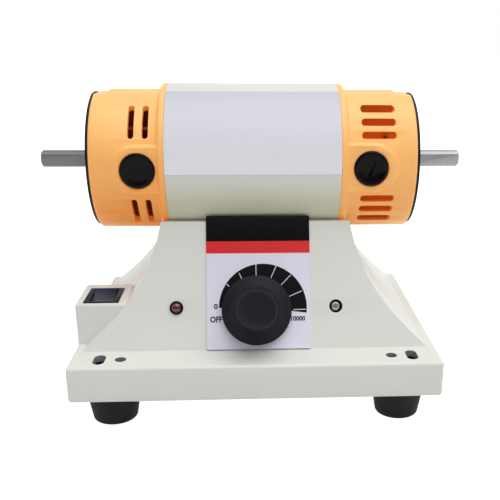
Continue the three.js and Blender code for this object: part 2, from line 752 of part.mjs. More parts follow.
function motorSleeve() {
  const tube = ring(sleeveRadius, sleeveRadius - sleeveWall, -sleeveHalf, sleeveHalf, largeSides);
  let sleeve = solidOf(alongX(tube));
  for (const side of [-1, 1]) {
    const hole = disc(saddleBoltRadius + fitGap, -sleeveRadius - overrun, -yokeRadius + overrun, smallSides);
    sleeve = cut(sleeve, solidOf(hole.translate(side * saddleBoltPitch / 2, 0, 0)));
  }
  return sleeve;
}

// Points round the motor's axis, from the front upwards in degrees
function frontArc(radius, low, high, steps) {
  return Array.from({ length: steps + 1 }, (_, i) => {
    const angle = THREE.MathUtils.degToRad(low + (high - low) * i / steps);
    return [-radius * Math.cos(angle), radius * Math.sin(angle)];
  });
}

function curvedSheet(outer, inner, low, high, steps, length) {
  const outside = frontArc(outer, low, high, steps);
  const inside = frontArc(inner, low, high, steps);
  const outline = polygon([...outside, ...inside.reverse()]);
  return prism(outline, length).rotateX(Math.PI / 2).rotateZ(Math.PI / 2);
}

function sleeveLabel() {
  const inner = sleeveRadius + labelGap;
  const outer = inner + labelThickness;
  const sheet = curvedSheet(outer, inner, labelLowAngle, labelHighAngle, labelSteps, sleeveLength);
  return solidOf(sheet.translate(-sleeveHalf, 0, 0));
}

addPiece('motor_sleeve', motorSleeve(), finishes.creamEnamel(), motorFrame);
addPiece('sleeve_label', sleeveLabel(), finishes.labelFilm(), motorFrame);

[-1, 1].forEach((side, i) => {
  const frame = new THREE.Group();
  frame.position.set(motorShiftX + side * saddleBoltPitch / 2, motorAxisY, saddleBossBottom);
  frame.rotation.x = Math.PI;
  machine.add(frame);
  const length = motorAxisZ - yokeRadius + saddleBoltReach - fitGap - saddleBossBottom;
  const bolt = panScrew(saddleBoltHeadRadius, saddleBoltHeadHeight, saddleBoltRadius, length);
  addPiece(`${['left', 'right'][i]}_saddle_bolt`, bolt, finishes.zincSteel(), frame);
});

// Bearings: 8 mm bore, 22 mm outside, 7 mm wide
const bearingRadius = 11;
const bearingWidth = 7;
const innerRingRadius = 6;
const outerRingBore = 9;
const ballCount = 7;
const cageWidth = 4;
const cageWall = 0.6;
const ballRows = 3;
const pocketFloor = 2.6;
const pocketWall = 3;

function ballCage() {
  const pitch = (innerRingRadius + outerRingBore) / 2;
  const ballRadius = (outerRingBore - innerRingRadius) / 2 - fitGap;
  let cage = solidOf(ring(pitch + cageWall / 2, pitch - cageWall / 2, -cageWidth / 2, cageWidth / 2));
  for (let i = 0; i < ballCount; i++) {
    const angle = i / ballCount * Math.PI * 2;
    const ball = new THREE.SphereGeometry(ballRadius, hexSides, ballRows);
    cage = join(cage, solidOf(ball.translate(pitch * Math.cos(angle), pitch * Math.sin(angle), 0)));
  }
  return cage;
}

// Brush gear on the right, across the axis and turned up a little at the front.
// Its radii are from the motor's axis
const plugPlace = 51.5;
const brushPlace = 52.85;
const brushTurn = 1.5;
const capRadius = 7.8;
const capHeadHeight = 1.8;
const capStemRadius = 5.5;
const capStemLength = 4;
const capSlotWidth = 1.6;
const capSlotLength = 7.5;
const capSlotDepth = 1;
const capSlotTurn = 20;
const tongueRadius = 11;
const tongueFace = 33.5;
const tongueSteps = 6;
const guideWall = 3;
const brushGuideInner = 16;
const plugGuideInner = 27.4;
const holderWall = 1.2;
const holderInner = 11.5;
const brushWidth = 5;
const brushLength = 10;
const commutatorRadius = 9;
const springTurns = 5;
const springRadius = 2.4;
const springWire = 0.7;

const capSeat = tongueFace - capHeadHeight / 2;
const guideBore = capStemRadius + fitGap;
const holderOuter = capSeat - capStemLength - fitGap;
const brushTip = commutatorRadius + fitGap;

// Vents of the two bells: bands round the left one, slots straight through the front of the right one
const bandWidth = 2.8;
const bandPlaces = [47.9, 54.2];
const bandLowAngle = 24.5;
const bandHighAngle = 55.6;
const bandSteps = 6;
const ventWidth = 3.3;
const ventStart = 48.7;
const ventLength = 15.8;
const ventRises = [14.3, 19.75, 25.25];

// Flat notch at the top of each bell
const notchStart = 66.5;
const notchDepth = 1.8;
const bellEdge = 1.2;
const bellEndWall = 2.6;
const endPlateInset = 1.2;

const brushTilt = THREE.MathUtils.degToRad(-brushTurn);
const leftSide = { name: 'left', bellEnd: lipOuter + leftBellLength, place: plugPlace, turn: 0 };
const rightSide = { name: 'right', bellEnd: lipOuter + rightBellLength, place: brushPlace, turn: brushTilt };

function bellShell(bellEnd) {
  const inner = bellRadius - bellWall;
  const spigot = yokeRadius;
  const pocketOuter = bearingRadius + fitGap + pocketWall;
  const endInner = bellEnd - bellEndWall;
  return turned([
    [inner, sleeveHalf - lipWidth], [spigot, sleeveHalf - lipWidth], [spigot, sleeveHalf],
    [sleeveRadius, sleeveHalf], [sleeveRadius, lipOuter - lipWidth / 4],
    [sleeveRadius - lipWidth / 4, lipOuter], [bellRadius, lipOuter],
    [bellRadius, bellEnd - bellEdge], [bellRadius - bellEdge, bellEnd],
    [spindleRadius + 2 * runningGap, bellEnd], [spindleRadius + 2 * runningGap, bellEnd - pocketFloor],
    [bearingRadius + fitGap, bellEnd - pocketFloor],
    [bearingRadius + fitGap, bellEnd - pocketFloor - bearingWidth],
    [pocketOuter, bellEnd - pocketFloor - bearingWidth], [pocketOuter, endInner], [inner, endInner],
  ], largeSides);
}

// A tongue from the lip round the cap, with a flat face towards the front
function capTongue(place, radius, depth) {
  const shape = new THREE.Shape();
  shape.moveTo(sleeveHalf, -radius);
  shape.absarc(place, 0, radius, -Math.PI / 2, Math.PI / 2);
  shape.lineTo(sleeveHalf, radius);
  return towardsFront(prism(shape, depth, tongueSteps));
}

function bandCutter(place, low, high) {
  const sheet = curvedSheet(sleeveRadius, bellRadius - bellWall - overrun, low, high, bandSteps, bandWidth);
  return sheet.translate(place - bandWidth / 2, 0, 0);
}

function bandCutters() {
  const cutters = [];
  for (const place of bandPlaces) {
    for (const middle of [0, Math.PI]) {
      for (const [low, high] of [[bandLowAngle, bandHighAngle], [-bandHighAngle, -bandLowAngle]]) {
        cutters.push(solidOf(bandCutter(place, low, high).rotateX(middle)));
      }
    }
  }
  return cutters;
}

function ventCutters() {
  const cutters = [];
  for (const rise of ventRises) {
    for (const side of [-1, 1]) {
      const slot = towardsFront(prism(slotShape(ventWidth, ventLength), sleeveRadius).rotateZ(Math.PI / 2));
      slot.translate(ventStart + ventLength / 2, 0, side * rise);
      cutters.push(solidOf(slot.rotateX(brushTilt)));
    }
  }
  return cutters;
}

function endBell({ bellEnd, place, turn }, vents, guideInner) {
  let bell = solidOf(alongX(bellShell(bellEnd)));
  const notch = box(bellEnd - notchStart + overrun, bellRadius * 2, bellWall);
  notch.translate((notchStart + bellEnd + overrun) / 2, 0, bellRadius - notchDepth + bellWall / 2);
  bell = cut(bell, solidOf(notch));
  const inside = solidOf(alongX(disc(bellRadius - bellWall, 0, bellEnd - bellEndWall, largeSides)));
  for (const face of [turn, turn + Math.PI]) {
    const tongue = solidOf(capTongue(place, tongueRadius, tongueFace).rotateX(face));
    bell = join(bell, cut(tongue, inside));
    const guide = towardsFront(disc(guideBore + guideWall, guideInner, tongueFace)).translate(place, 0, 0);
    bell = join(bell, solidOf(guide.rotateX(face)));
  }
  for (const face of [turn, turn + Math.PI]) {
    const bore = towardsFront(disc(guideBore, 0, sleeveRadius)).translate(place, 0, 0);
    const seat = towardsFront(disc(capRadius + fitGap, capSeat, sleeveRadius)).translate(place, 0, 0);
    bell = cut(bell, solidOf(bore.rotateX(face)), solidOf(seat.rotateX(face)));
  }
  for (const side of [-1, 1]) {
    const hole = alongX(disc(bellScrewRadius + fitGap, 0, bellEnd + overrun, smallSides));
    bell = cut(bell, solidOf(hole.translate(0, 0, side * bellScrewCircle)));
  }
  return cut(bell, ...vents);
}

function endPlate({ bellEnd }) {
  const radius = bellRadius - endPlateInset;
  const outside = bellEnd + endPlateThickness;
  let plate = solidOf(alongX(ring(radius, spindleRadius + 2 * runningGap, bellEnd, outside, largeSides)));
  for (const side of [-1, 1]) {
    const hole = alongX(disc(bellScrewRadius + fitGap, 0, outside + overrun, smallSides));
    plate = cut(plate, solidOf(hole.translate(0, 0, side * bellScrewCircle)));
  }
  return plate;
}

function cap(slotted) {
  const edge = capHeadHeight / 3;
  const top = capHeadHeight;
  let body = solidOf(turned([
    [0, -capStemLength], [capStemRadius, -capStemLength], [capStemRadius, 0], [capRadius, 0],
    [capRadius, top - edge], [capRadius - edge, top], [0, top],
  ], middleSides));
  if (slotted) {
    const slot = box(capSlotWidth, capSlotLength, 2 * capSlotDepth).translate(0, 0, top);
    body = cut(body, solidOf(slot.rotateZ(-THREE.MathUtils.degToRad(capSlotTurn))));
  }
  return body;
}

// A compression spring as one round wire on a helix; the least gap between its turns is measured and printed
class Helix extends THREE.Curve {
  constructor(radius, turns, length) {
    super();
    Object.assign(this, { radius, turns, length });
  }

  getPoint(t, target = new THREE.Vector3()) {
    const angle = t * this.turns * Math.PI * 2;
    return target.set(this.radius * Math.cos(angle), this.radius * Math.sin(angle), t * this.length);
  }
}

const springStart = brushTip + brushLength + fitGap;
const springLength = holderOuter - springStart - springWire;
const springPath = new Helix(springRadius, springTurns, springLength);
const springSteps = springTurns * smallSides;

function leastSpringGap() {
  const points = springPath.getPoints(springSteps);
  const apart = smallSides / 2;
  const distances = points.flatMap((p, i) => points.slice(i + apart).map((q) => p.distanceTo(q)));
  return Math.min(...distances) - springWire;
}

function brushSpring() {
  const wire = new THREE.Shape();
  wire.absarc(0, 0, springWire / 2, 0, Math.PI * 2);
  const coil = new THREE.ExtrudeGeometry(wire, {
    steps: springSteps, extrudePath: springPath, bevelEnabled: false, curveSegments: 3,
  });
  return solidOf(coil.translate(0, 0, springStart + springWire / 2));
}

console.log(`least gap between the turns of the brush springs: ${leastSpringGap().toFixed(2)} mm`);

function brushHolder() {
  const outer = guideBore - fitGap;
  return solidOf(ring(outer, outer - holderWall, holderInner, holderOuter));
}

function addBearing({ name, bellEnd }, end) {
  const half = bearingWidth / 2;
  const outer = ring(bearingRadius, outerRingBore, -half, half);
  const inner = ring(innerRingRadius, spindleRadius + fitGap, -half, half);
  const bearing = new THREE.Group();
  bearing.position.x = bellEnd - pocketFloor - half;
  bearing.rotation.y = Math.PI / 2;
  end.add(bearing);
  addPiece(`${name}_bearing_outer_ring`, solidOf(outer), finishes.groundSteel(), bearing);
  addPiece(`${name}_bearing_inner_ring`, solidOf(inner), finishes.groundSteel(), bearing);
  addPiece(`${name}_bearing_ball_cage`, ballCage(), finishes.groundSteel(), bearing);
}

function addBellScrews({ name, bellEnd }, end) {
  const length = bellEnd + endPlateThickness - bellScrewStart;
  for (const [level, side] of [['upper', 1], ['lower', -1]]) {
    const frame = new THREE.Group();
    frame.position.set(bellEnd + endPlateThickness, 0, side * bellScrewCircle);
    frame.rotation.y = Math.PI / 2;
    end.add(frame);
    const screw = panScrew(bellHeadRadius, bellHeadHeight, bellScrewRadius, length);
    addPiece(`${name}_${level}_bell_screw`, screw, finishes.zincSteel(), frame);
  }
}

// A seat faces out of the bell, along Z from the motor's axis
function capSeatFrames({ place, turn }, end, quarterTurns) {
  const seat = new THREE.Group();
  seat.position.x = place;
  seat.rotation.x = quarterTurns * Math.PI / 2 + turn;
  end.add(seat);
  const head = new THREE.Group();
  head.position.z = capSeat;
  seat.add(head);
  return { seat, head };
}

function addBrushGear(place, { seat, head }) {
  const brush = box(brushWidth, brushWidth, brushLength).translate(0, 0, brushTip + brushLength / 2);
  addPiece(`${place}_brush_cap`, cap(true), finishes.blackPhenolic(), head);
  addPiece(`${place}_brush_holder`, brushHolder(), finishes.brass(), seat);
  addPiece(`${place}_brush_spring`, brushSpring(), finishes.zincSteel(), seat);
  addPiece(`${place}_carbon_brush`, solidOf(brush), finishes.carbon(), seat);
}

// The two ends of the motor, the left one turned half round
const leftEnd = new THREE.Group();
const rightEnd = new THREE.Group();
leftEnd.rotation.z = Math.PI;
motorFrame.add(leftEnd, rightEnd);
const leftBell = endBell(leftSide, bandCutters(), plugGuideInner);
const rightBell = endBell(rightSide, ventCutters(), brushGuideInner);
addPiece('left_end_bell', leftBell, finishes.orangeNylon(), leftEnd);
addPiece('right_end_bell', rightBell, finishes.orangeNylon(), rightEnd);
for (const [side, end] of [[leftSide, leftEnd], [rightSide, rightEnd]]) {
  addPiece(`${side.name}_end_plate`, endPlate(side), finishes.mattBlack(), end);
  addBearing(side, end);
  addBellScrews(side, end);
}
for (const [place, quarterTurns] of [['front', 1], ['rear', -1]]) {
  const leftSeat = capSeatFrames(leftSide, leftEnd, -quarterTurns);
  addPiece(`${place}_blanking_plug`, cap(false), finishes.blackPhenolic(), leftSeat.head);
  addBrushGear(place, capSeatFrames(rightSide, rightEnd, quarterTurns));
}

// Rotor: spindle with a flat at each end, laminated core, windings, commutator and fan
const flatLength = 25;
const flatDepth = 0.8;
const chamfer = 0.6;
const slotCount = 12;
const slotCircle = 12.6;
const slotRadius = 1.7;
const windingRadius = 15;
const windingInner = 6.5;
const windingReach = 9;
const windingEdge = 3;
const commutatorStart = 44;
const commutatorLength = 15;
const fanRadius = bellScrewCircle - bellScrewRadius - runningGap;
const fanStart = 45;
const fanWidth = 17;
const fanHubRadius = 9;
const fanPlate = 1.6;
const bladeCount = 9;
const bladeThickness = 1.4;
const bladeTurn = 25;

function rotorShaft() {
  const half = spindleLength / 2;
  let shaft = solidOf(alongX(turned([
    [0, -half], [spindleRadius - chamfer, -half], [spindleRadius, chamfer - half],
    [spindleRadius, half - chamfer], [spindleRadius - chamfer, half], [0, half],
  ], middleSides)));
  for (const side of [-1, 1]) {
    const flat = box(flatLength, flatDepth * 2, 4 * spindleRadius);
    flat.translate(side * (half - flatLength / 2 + overrun), -spindleRadius, 0);
    shaft = cut(shaft, solidOf(flat));
  }
  return shaft;
}

function slotBars(radius, length) {
  const bars = [];
  for (let i = 0; i < slotCount; i++) {
    const angle = i / slotCount * Math.PI * 2;
    const bar = alongX(disc(radius, -length / 2, length / 2, hexSides));
    bars.push(solidOf(bar.translate(0, slotCircle * Math.cos(angle), slotCircle * Math.sin(angle))));
  }
  return bars;
}

function rotorCore() {
  const core = ring(rotorRadius, spindleRadius + fitGap, -coreLength / 2, coreLength / 2, largeSides);
  return cut(solidOf(alongX(core)), ...slotBars(slotRadius, coreLength + 2 * overrun));
}

function armatureWinding() {
  const start = coreLength / 2 + fitGap;
  const end = start + windingReach;
  const head = (sign) => solidOf(alongX(turned([
    [windingInner, sign * start], [windingRadius, sign * start], [windingRadius, sign * (end - windingEdge)],
    [windingRadius - windingEdge, sign * end], [windingInner, sign * end],
  ], middleSides)));
  return join(head(1), head(-1), ...slotBars(slotRadius - fitGap, 2 * start + windingReach));
}

function commutator() {
  const end = commutatorStart + commutatorLength;
  return solidOf(alongX(ring(commutatorRadius, spindleRadius + fitGap, commutatorStart, end)));
}

function coolingFan() {
  const bore = spindleRadius + fitGap;
  const hub = solidOf(alongX(ring(fanHubRadius, bore, -fanStart - fanWidth, -fanStart)));
  const plate = solidOf(alongX(ring(fanRadius, bore, -fanStart - fanPlate, -fanStart, largeSides)));
  const blades = [];
  for (let i = 0; i < bladeCount; i++) {
    const blade = box(fanWidth, bladeThickness, fanRadius - fanHubRadius);
    blade.translate(-fanStart - fanWidth / 2, 0, 0).rotateX(THREE.MathUtils.degToRad(bladeTurn));
    blade.translate(0, 0, (fanRadius + fanHubRadius) / 2).rotateX(i / bladeCount * Math.PI * 2);
    blades.push(solidOf(blade));
  }
  return cut(join(hub, plate, ...blades), solidOf(alongX(disc(bore, -2 * fanStart, 0))));
}

const spindleFrame = new THREE.Group();
spindleFrame.position.x = spindleShiftX;
motorFrame.add(spindleFrame);
addPiece('rotor_shaft', rotorShaft(), finishes.groundSteel(), spindleFrame);
addPiece('rotor_core', rotorCore(), finishes.siliconSteel(), motorFrame);
addPiece('armature_winding', armatureWinding(), finishes.copper(), motorFrame);
addPiece('commutator', commutator(), finishes.copper(), motorFrame);
addPiece('cooling_fan', coolingFan(), finishes.orangeNylon(), motorFrame);

export default machine;
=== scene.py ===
# A double-ended bench polishing motor in a cast pedestal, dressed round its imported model.
# The sections follow the machine as it is put together, from its feet up.
import math

import bpy
from mathutils import Matrix, Vector


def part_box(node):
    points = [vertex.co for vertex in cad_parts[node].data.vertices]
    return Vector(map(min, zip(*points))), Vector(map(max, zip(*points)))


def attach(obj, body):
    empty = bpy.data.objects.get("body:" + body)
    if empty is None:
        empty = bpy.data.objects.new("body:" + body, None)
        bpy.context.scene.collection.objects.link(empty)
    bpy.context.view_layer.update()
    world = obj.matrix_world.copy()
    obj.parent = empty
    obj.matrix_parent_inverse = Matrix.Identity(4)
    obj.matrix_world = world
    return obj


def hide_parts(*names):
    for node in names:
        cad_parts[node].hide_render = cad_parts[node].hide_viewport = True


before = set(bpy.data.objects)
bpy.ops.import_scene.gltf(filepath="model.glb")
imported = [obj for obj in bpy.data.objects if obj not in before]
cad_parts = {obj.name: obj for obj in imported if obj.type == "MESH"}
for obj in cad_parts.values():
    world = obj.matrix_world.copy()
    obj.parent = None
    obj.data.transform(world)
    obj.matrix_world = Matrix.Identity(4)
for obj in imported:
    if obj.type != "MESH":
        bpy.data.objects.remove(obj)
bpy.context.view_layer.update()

# Feet: four tapered rubber buffers, moulded solid with a deep well for the screw.
# Each is held up against the casting's boss by a pan-head screw from below.
mm = 0.001


def clear_bench():
    """Ends any editing, with nothing picked."""
    if bpy.context.object and bpy.context.object.mode != "OBJECT":
        bpy.ops.object.mode_set(mode="OBJECT")
    bpy.ops.object.select_all(action="DESELECT")


def pick_up(piece):
    clear_bench()
    piece.select_set(True)
    bpy.context.view_layer.objects.active = piece


def face_outward():
    """Turns the faces of the mesh on the bench outward, and ends its editing."""
    bpy.ops.mesh.select_all(action="SELECT")
    bpy.ops.mesh.normals_make_consistent(inside=False)
    bpy.ops.object.mode_set(mode="OBJECT")


def turn_piece(name, profile, sides=96, bored=False):
    """A turned piece round Z, drawn up ring by ring from (radius, height) in millimetres."""
    clear_bench()
    radius, height = profile[0]
    fill = "NOTHING" if bored else "NGON"
    bpy.ops.mesh.primitive_circle_add(
        vertices=sides, radius=radius * mm, fill_type=fill, location=(0, 0, height * mm))
    piece = bpy.context.object
    piece.name = name
    bpy.ops.object.mode_set(mode="EDIT")
    bpy.ops.mesh.select_all(action="SELECT")
    for wide, high in profile[1:]:
        bpy.ops.mesh.extrude_region_move(TRANSFORM_OT_translate={"value": (0, 0, (high - height) * mm)})
        bpy.ops.transform.resize(value=(wide / radius, wide / radius, 1), center_override=(0, 0, high * mm))
        radius, height = wide, high
    if bored:
        bpy.ops.mesh.select_all(action="DESELECT")
        bpy.ops.mesh.select_non_manifold()
        bpy.ops.mesh.bridge_edge_loops()
    face_outward()
    bpy.ops.object.transform_apply()
    return piece


def round_edges(piece, width, segments=3, angle=35):
    """Breaks every edge sharper than the angle with a small radius in millimetres."""
    pick_up(piece)
    bevel = piece.modifiers.new("edge_radius", "BEVEL")
    bevel.width = width * mm
    bevel.segments = segments
    bevel.limit_method = "ANGLE"
    bevel.angle_limit = math.radians(angle)
    bevel.miter_outer = "MITER_ARC"
    bpy.ops.object.modifier_apply(modifier=bevel.name)


def set_down(piece, matrix):
    """Moves a piece by a matrix; its own origin stays at the scene's."""
    pick_up(piece)
    piece.matrix_world = matrix @ piece.matrix_world
    bpy.ops.object.transform_apply()


def fit_piece(piece, finish, slot, body, *replaced, smooth=32):
    """Gives a finished mesh its finish and its place on the machine."""
    pick_up(piece)
    bpy.ops.object.shade_smooth_by_angle(angle=math.radians(smooth))
    if finish:
        piece.data.materials.clear()
        piece.data.materials.append(finish)
    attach(piece, body)
    if replaced:
        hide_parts(*replaced)


def colour(hex_code):
    """A written sRGB colour, turned to the linear light that the shaders use."""
    parts = [int(hex_code[i:i + 2], 16) / 255 for i in (0, 2, 4)]
    return (*[p / 12.92 if p <= 0.04045 else ((p + 0.055) / 1.055) ** 2.4 for p in parts], 1)


def feed(node, inputs):
    """Sets a node's inputs, each to a value, to a socket or to another node's first output."""
    for key, value in inputs.items():
        if isinstance(value, bpy.types.Node):
            value = next(socket for socket in value.outputs if socket.enabled)
        if isinstance(value, bpy.types.NodeSocket):
            node.id_data.links.new(value, node.inputs[key])
        else:
            node.inputs[key].default_value = value


def add_node(tree, kind, inputs={}, **settings):
    """One node, with its settings and what its inputs are fed."""
    made = tree.nodes.new("ShaderNode" + kind)
    for key, value in settings.items():
        setattr(made, key, value)
    feed(made, inputs)
    return made


def new_finish(name, roughness, **sockets):
    """An empty finish: returns the material, its tree, its shader and the place on the piece."""
    finish = bpy.data.materials.new(name)
    finish.use_nodes = True
    tree = finish.node_tree
    shader = tree.nodes["Principled BSDF"]
    feed(shader, {"Roughness": roughness} | {key.replace("_", " "): value for key, value in sockets.items()})
    place = add_node(tree, "TexCoord").outputs["Object"]
    return finish, tree, shader, place


def two_tone(name, roughness, scale, detail, dark, light, **sockets):
    """A finish whose colour drifts between two tones in clouds, which come last for other uses."""
    finish, tree, shader, place = new_finish(name, roughness, **sockets)
    clouds = add_node(tree, "TexNoise", {"Vector": place, "Scale": scale, "Detail": detail})
    shade = add_node(tree, "Mix", {"Factor": clouds, "A": colour(dark), "B": colour(light)}, data_type="RGBA")
    feed(shader, {"Base Color": shade})
    return finish, tree, shader, place, clouds


# Black natural rubber, moulded: a dull deep grey with a fine grain and a little bloom.
rubber, tree, shader, place, _ = two_tone(
    "moulded_rubber", 0.78, 60, 3, "202122", "2D2E30", Specular_IOR_Level=0.2)
grain = add_node(tree, "TexNoise", {"Vector": place, "Scale": 900, "Detail": 4})
relief = add_node(tree, "Bump", {"Height": grain, "Strength": 0.5, "Distance": 0.06 * mm})
feed(shader, {"Normal": relief})

foot_top = 19.7
well_top = 12
foot_profile = [
    (2.3, foot_top), (2.3, well_top), (5.4, well_top), (5.4, 0), (9.6, 0), (10.25, 0.5), (11.7, 9),
    (13.6, 18.8), (13.3, foot_top)]
foot_names = ["front_left_foot", "front_right_foot", "rear_left_foot", "rear_right_foot"]


def foot_place(name, height=0):
    """The middle of a packed foot, at a height in millimetres."""
    low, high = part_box(name)
    return Matrix.Translation(((low.x + high.x) / 2, (low.y + high.y) / 2, height * mm))


for name in foot_names:
    foot = turn_piece("rubber_" + name, foot_profile, sides=72, bored=True)
    round_edges(foot, 0.5, 3, 30)
    set_down(foot, foot_place(name))
    fit_piece(foot, rubber, "black_rubber", "pedestal", name)

# Casting: deck, skirt, flared tower, saddle and switch box, die-cast hollow in one piece of aluminium.
# Cast edges are rounded, the saddle is bored for the motor, and the whole is stoved in cream enamel.
def shift(x, y, z):
    """A move by distances in millimetres."""
    return Matrix.Translation(Vector((x, y, z)) * mm)


half_width, half_depth = 82.5, 62.5
cover_top = 20.9
deck_top = 36.3
tower_top = 90.5
wall = 3
motor = Vector((-0.7, 7.2, 114.6))
lean = math.radians(22)
face_frame = shift(0, -44.9, deck_top) @ Matrix.Rotation(math.pi / 2 - lean, 4, "X")
motor_frame = Matrix.Translation(motor * mm) @ Matrix.Rotation(math.pi / 2, 4, "Y")


def add_block(low, high):
    """A block between two corners in millimetres."""
    clear_bench()
    size = Vector(high) - Vector(low)
    bpy.ops.mesh.primitive_cube_add(size=1, location=(Vector(high) + Vector(low)) / 2 * mm)
    bpy.context.object.scale = size * mm
    bpy.ops.object.transform_apply()
    return bpy.context.object


def add_bar(radius, start, end, sides=32, matrix=Matrix.Identity(4)):
    """A round bar along Z between two heights in millimetres, then set down by a matrix."""
    clear_bench()
    bpy.ops.mesh.primitive_cylinder_add(
        vertices=sides, radius=radius * mm, depth=(end - start) * mm, location=(0, 0, (start + end) / 2 * mm))
    bar = bpy.context.object
    bpy.ops.object.transform_apply()
    set_down(bar, matrix)
    return bar


def join_or_cut(piece, tool, operation="DIFFERENCE"):
    """Cuts a tool out of a piece, or joins it on; the tool is used up."""
    pick_up(piece)
    boolean = piece.modifiers.new("tool", "BOOLEAN")
    boolean.operation = operation
    boolean.solver = "EXACT"
    boolean.object = tool
    bpy.ops.object.modifier_apply(modifier=boolean.name)
    bpy.data.objects.remove(tool)


def select_where(piece, test):
    """Edit mode with only the points that pass a test on their place in millimetres."""
    pick_up(piece)
    bpy.ops.object.mode_set(mode="EDIT")
    bpy.ops.mesh.select_all(action="DESELECT")
    bpy.ops.object.mode_set(mode="OBJECT")
    for vertex in piece.data.vertices:
        vertex.select = test(vertex.co / mm)
    bpy.ops.object.mode_set(mode="EDIT")


def flank_half_width(height, inset):
    """The tower's half width at a height, on the curve from its narrow top to its spread foot."""
    top, spread_foot = 43.5 - inset, 80 - inset * 2.2
    foot = deck_top - wall / 2 - inset / 2
    rise, spread = tower_top - foot, spread_foot - top
    points = [(top, tower_top), (top + 0.13 * spread, foot + 0.548 * rise),
              (top + 0.43 * spread, foot + 0.327 * rise), (spread_foot, foot)]
    low, high = 0.0, 1.0
    for _ in range(40):
        t = (low + high) / 2
        shares = ((1 - t) ** 3, 3 * t * (1 - t) ** 2, 3 * t * t * (1 - t), t ** 3)
        x, z = (sum(s * p[i] for s, p in zip(shares, points)) for i in (0, 1))
        low, high = (t, high) if z > height else (low, t)
    return x


def draw_tower(inset, bottom):
    """The tower's body, drawn up level by level from its foot."""
    def half_size(height):
        depth = 52.1 - inset / math.cos(lean) - (height - deck_top) * math.tan(lean)
        return flank_half_width(height, inset), depth
    clear_bench()
    steps = 36
    heights = [bottom + (tower_top - bottom) * i / steps for i in range(steps + 1)]
    x, y = half_size(heights[0])
    bpy.ops.mesh.primitive_plane_add(size=1, location=(0, motor.y * mm, heights[0] * mm))
    tower = bpy.context.object
    tower.scale = (2 * x * mm, 2 * y * mm, 1)
    bpy.ops.object.transform_apply()
    bpy.ops.object.mode_set(mode="EDIT")
    bpy.ops.mesh.select_all(action="SELECT")
    for below, height in zip(heights, heights[1:]):
        next_x, next_y = half_size(height)
        bpy.ops.mesh.extrude_region_move(TRANSFORM_OT_translate={"value": (0, 0, (height - below) * mm)})
        bpy.ops.transform.resize(
            value=(next_x / x, next_y / y, 1), center_override=(0, motor.y * mm, height * mm))
        x, y = next_x, next_y
    face_outward()
    return tower


def stretch_bar(radius, length, start, end, axis=1):
    """A bar with a slot's section: half of its points are moved along one axis each way."""
    slot = add_bar(radius, start, end, 32)
    reach = length / 2 - radius
    for side in (-1, 1):
        select_where(slot, lambda p: p[axis] * side > radius * 0.02)
        step = [0, 0, 0]
        step[axis] = side * reach * mm
        bpy.ops.transform.translate(value=step)
        bpy.ops.object.mode_set(mode="OBJECT")
    return slot


def round_corners(block, radius, segments=5):
    """Rounds the upright corners of a block."""
    pick_up(block)
    bpy.ops.object.mode_set(mode="EDIT")
    bpy.ops.mesh.select_all(action="DESELECT")
    bpy.ops.object.mode_set(mode="OBJECT")
    points = block.data.vertices
    for edge in block.data.edges:
        along = points[edge.vertices[0]].co - points[edge.vertices[1]].co
        edge.select = abs(along.z) > 0.9 * along.length
    bpy.ops.object.mode_set(mode="EDIT")
    bpy.ops.mesh.select_mode(type="EDGE")
    bpy.ops.mesh.bevel(offset=radius * mm, segments=segments)
    bpy.ops.mesh.select_mode(type="VERT")
    bpy.ops.object.mode_set(mode="OBJECT")


casting = add_block((-half_width, -half_depth, foot_top), (half_width, half_depth, deck_top))
round_corners(casting, 1.5)
join_or_cut(casting, draw_tower(0, deck_top - wall), "UNION")
box_front, box_rear, box_right, box_top = -36, -8, -59, 56
switch_box = add_block((-half_width, box_front, deck_top - wall), (box_right, box_rear, box_top))
round_corners(switch_box, 1.6, 4)
join_or_cut(casting, switch_box, "UNION")

hollow = draw_tower(wall, deck_top - wall - 1)
join_or_cut(hollow, add_bar(39.3, -120, 120, 128, motor_frame))
inner_width, inner_depth = half_width - wall, half_depth - wall
underside = add_block((-inner_width, -inner_depth, foot_top - 1), (inner_width, inner_depth, deck_top - wall))
round_corners(underside, 1.5)
join_or_cut(hollow, underside, "UNION")
box_hollow = add_block((-inner_width, box_front + wall, 32), (box_right, box_rear - wall, box_top - wall))
join_or_cut(hollow, box_hollow, "UNION")
hole_side, hole_height, dial_height = 36.4, 19.3, 17.7
triac_place = face_frame @ shift(hole_side, hole_height, 0)
lamp_place = face_frame @ shift(-hole_side, hole_height, 0)
dial_place = face_frame @ shift(0, dial_height, 0)
join_or_cut(hollow, add_bar(5.5, -7, 0, 32, triac_place))
for name in foot_names:
    join_or_cut(hollow, add_bar(5, cover_top, 40, 32, foot_place(name)))
join_or_cut(casting, hollow)
join_or_cut(casting, add_bar(35.7, -120, 120, 192, motor_frame))
relief = add_bar(36.4, -50, 50, 192, motor_frame)
join_or_cut(relief, add_block((-60, -34, 80), (60, -14, 100)), "INTERSECT")
join_or_cut(casting, relief)
round_edges(casting, 0.45, 3, 36)

dial_bore, screw_recess = 3.8, 2.4
for radius, depth, centre in (
        (dial_bore, 5, dial_place), (2.95, 5, lamp_place),
        (3.05, screw_recess, triac_place), (1.8, 9, triac_place)):
    join_or_cut(casting, add_bar(radius, -depth, 2, 48, centre))
slot_row = -53.6
for side in (-1, 1):
    slot = stretch_bar(2.6, 9.6, 30, 40)
    set_down(slot, shift(side * 69.4, slot_row, 0))
    join_or_cut(casting, slot)
    join_or_cut(casting, add_bar(2.5, 30, 40, 32, shift(side * 60.2, slot_row, 0)))
join_or_cut(casting, add_block((-77.35, -34.7, 50), (-64.15, -16.1, box_top + 2)))
inlet_height = (cover_top + deck_top - wall) / 2
inlet_place = shift(-45, half_depth, inlet_height) @ Matrix.Rotation(-math.pi / 2, 4, "X")
join_or_cut(casting, add_bar(4.1, -8, 2, 48, inlet_place))

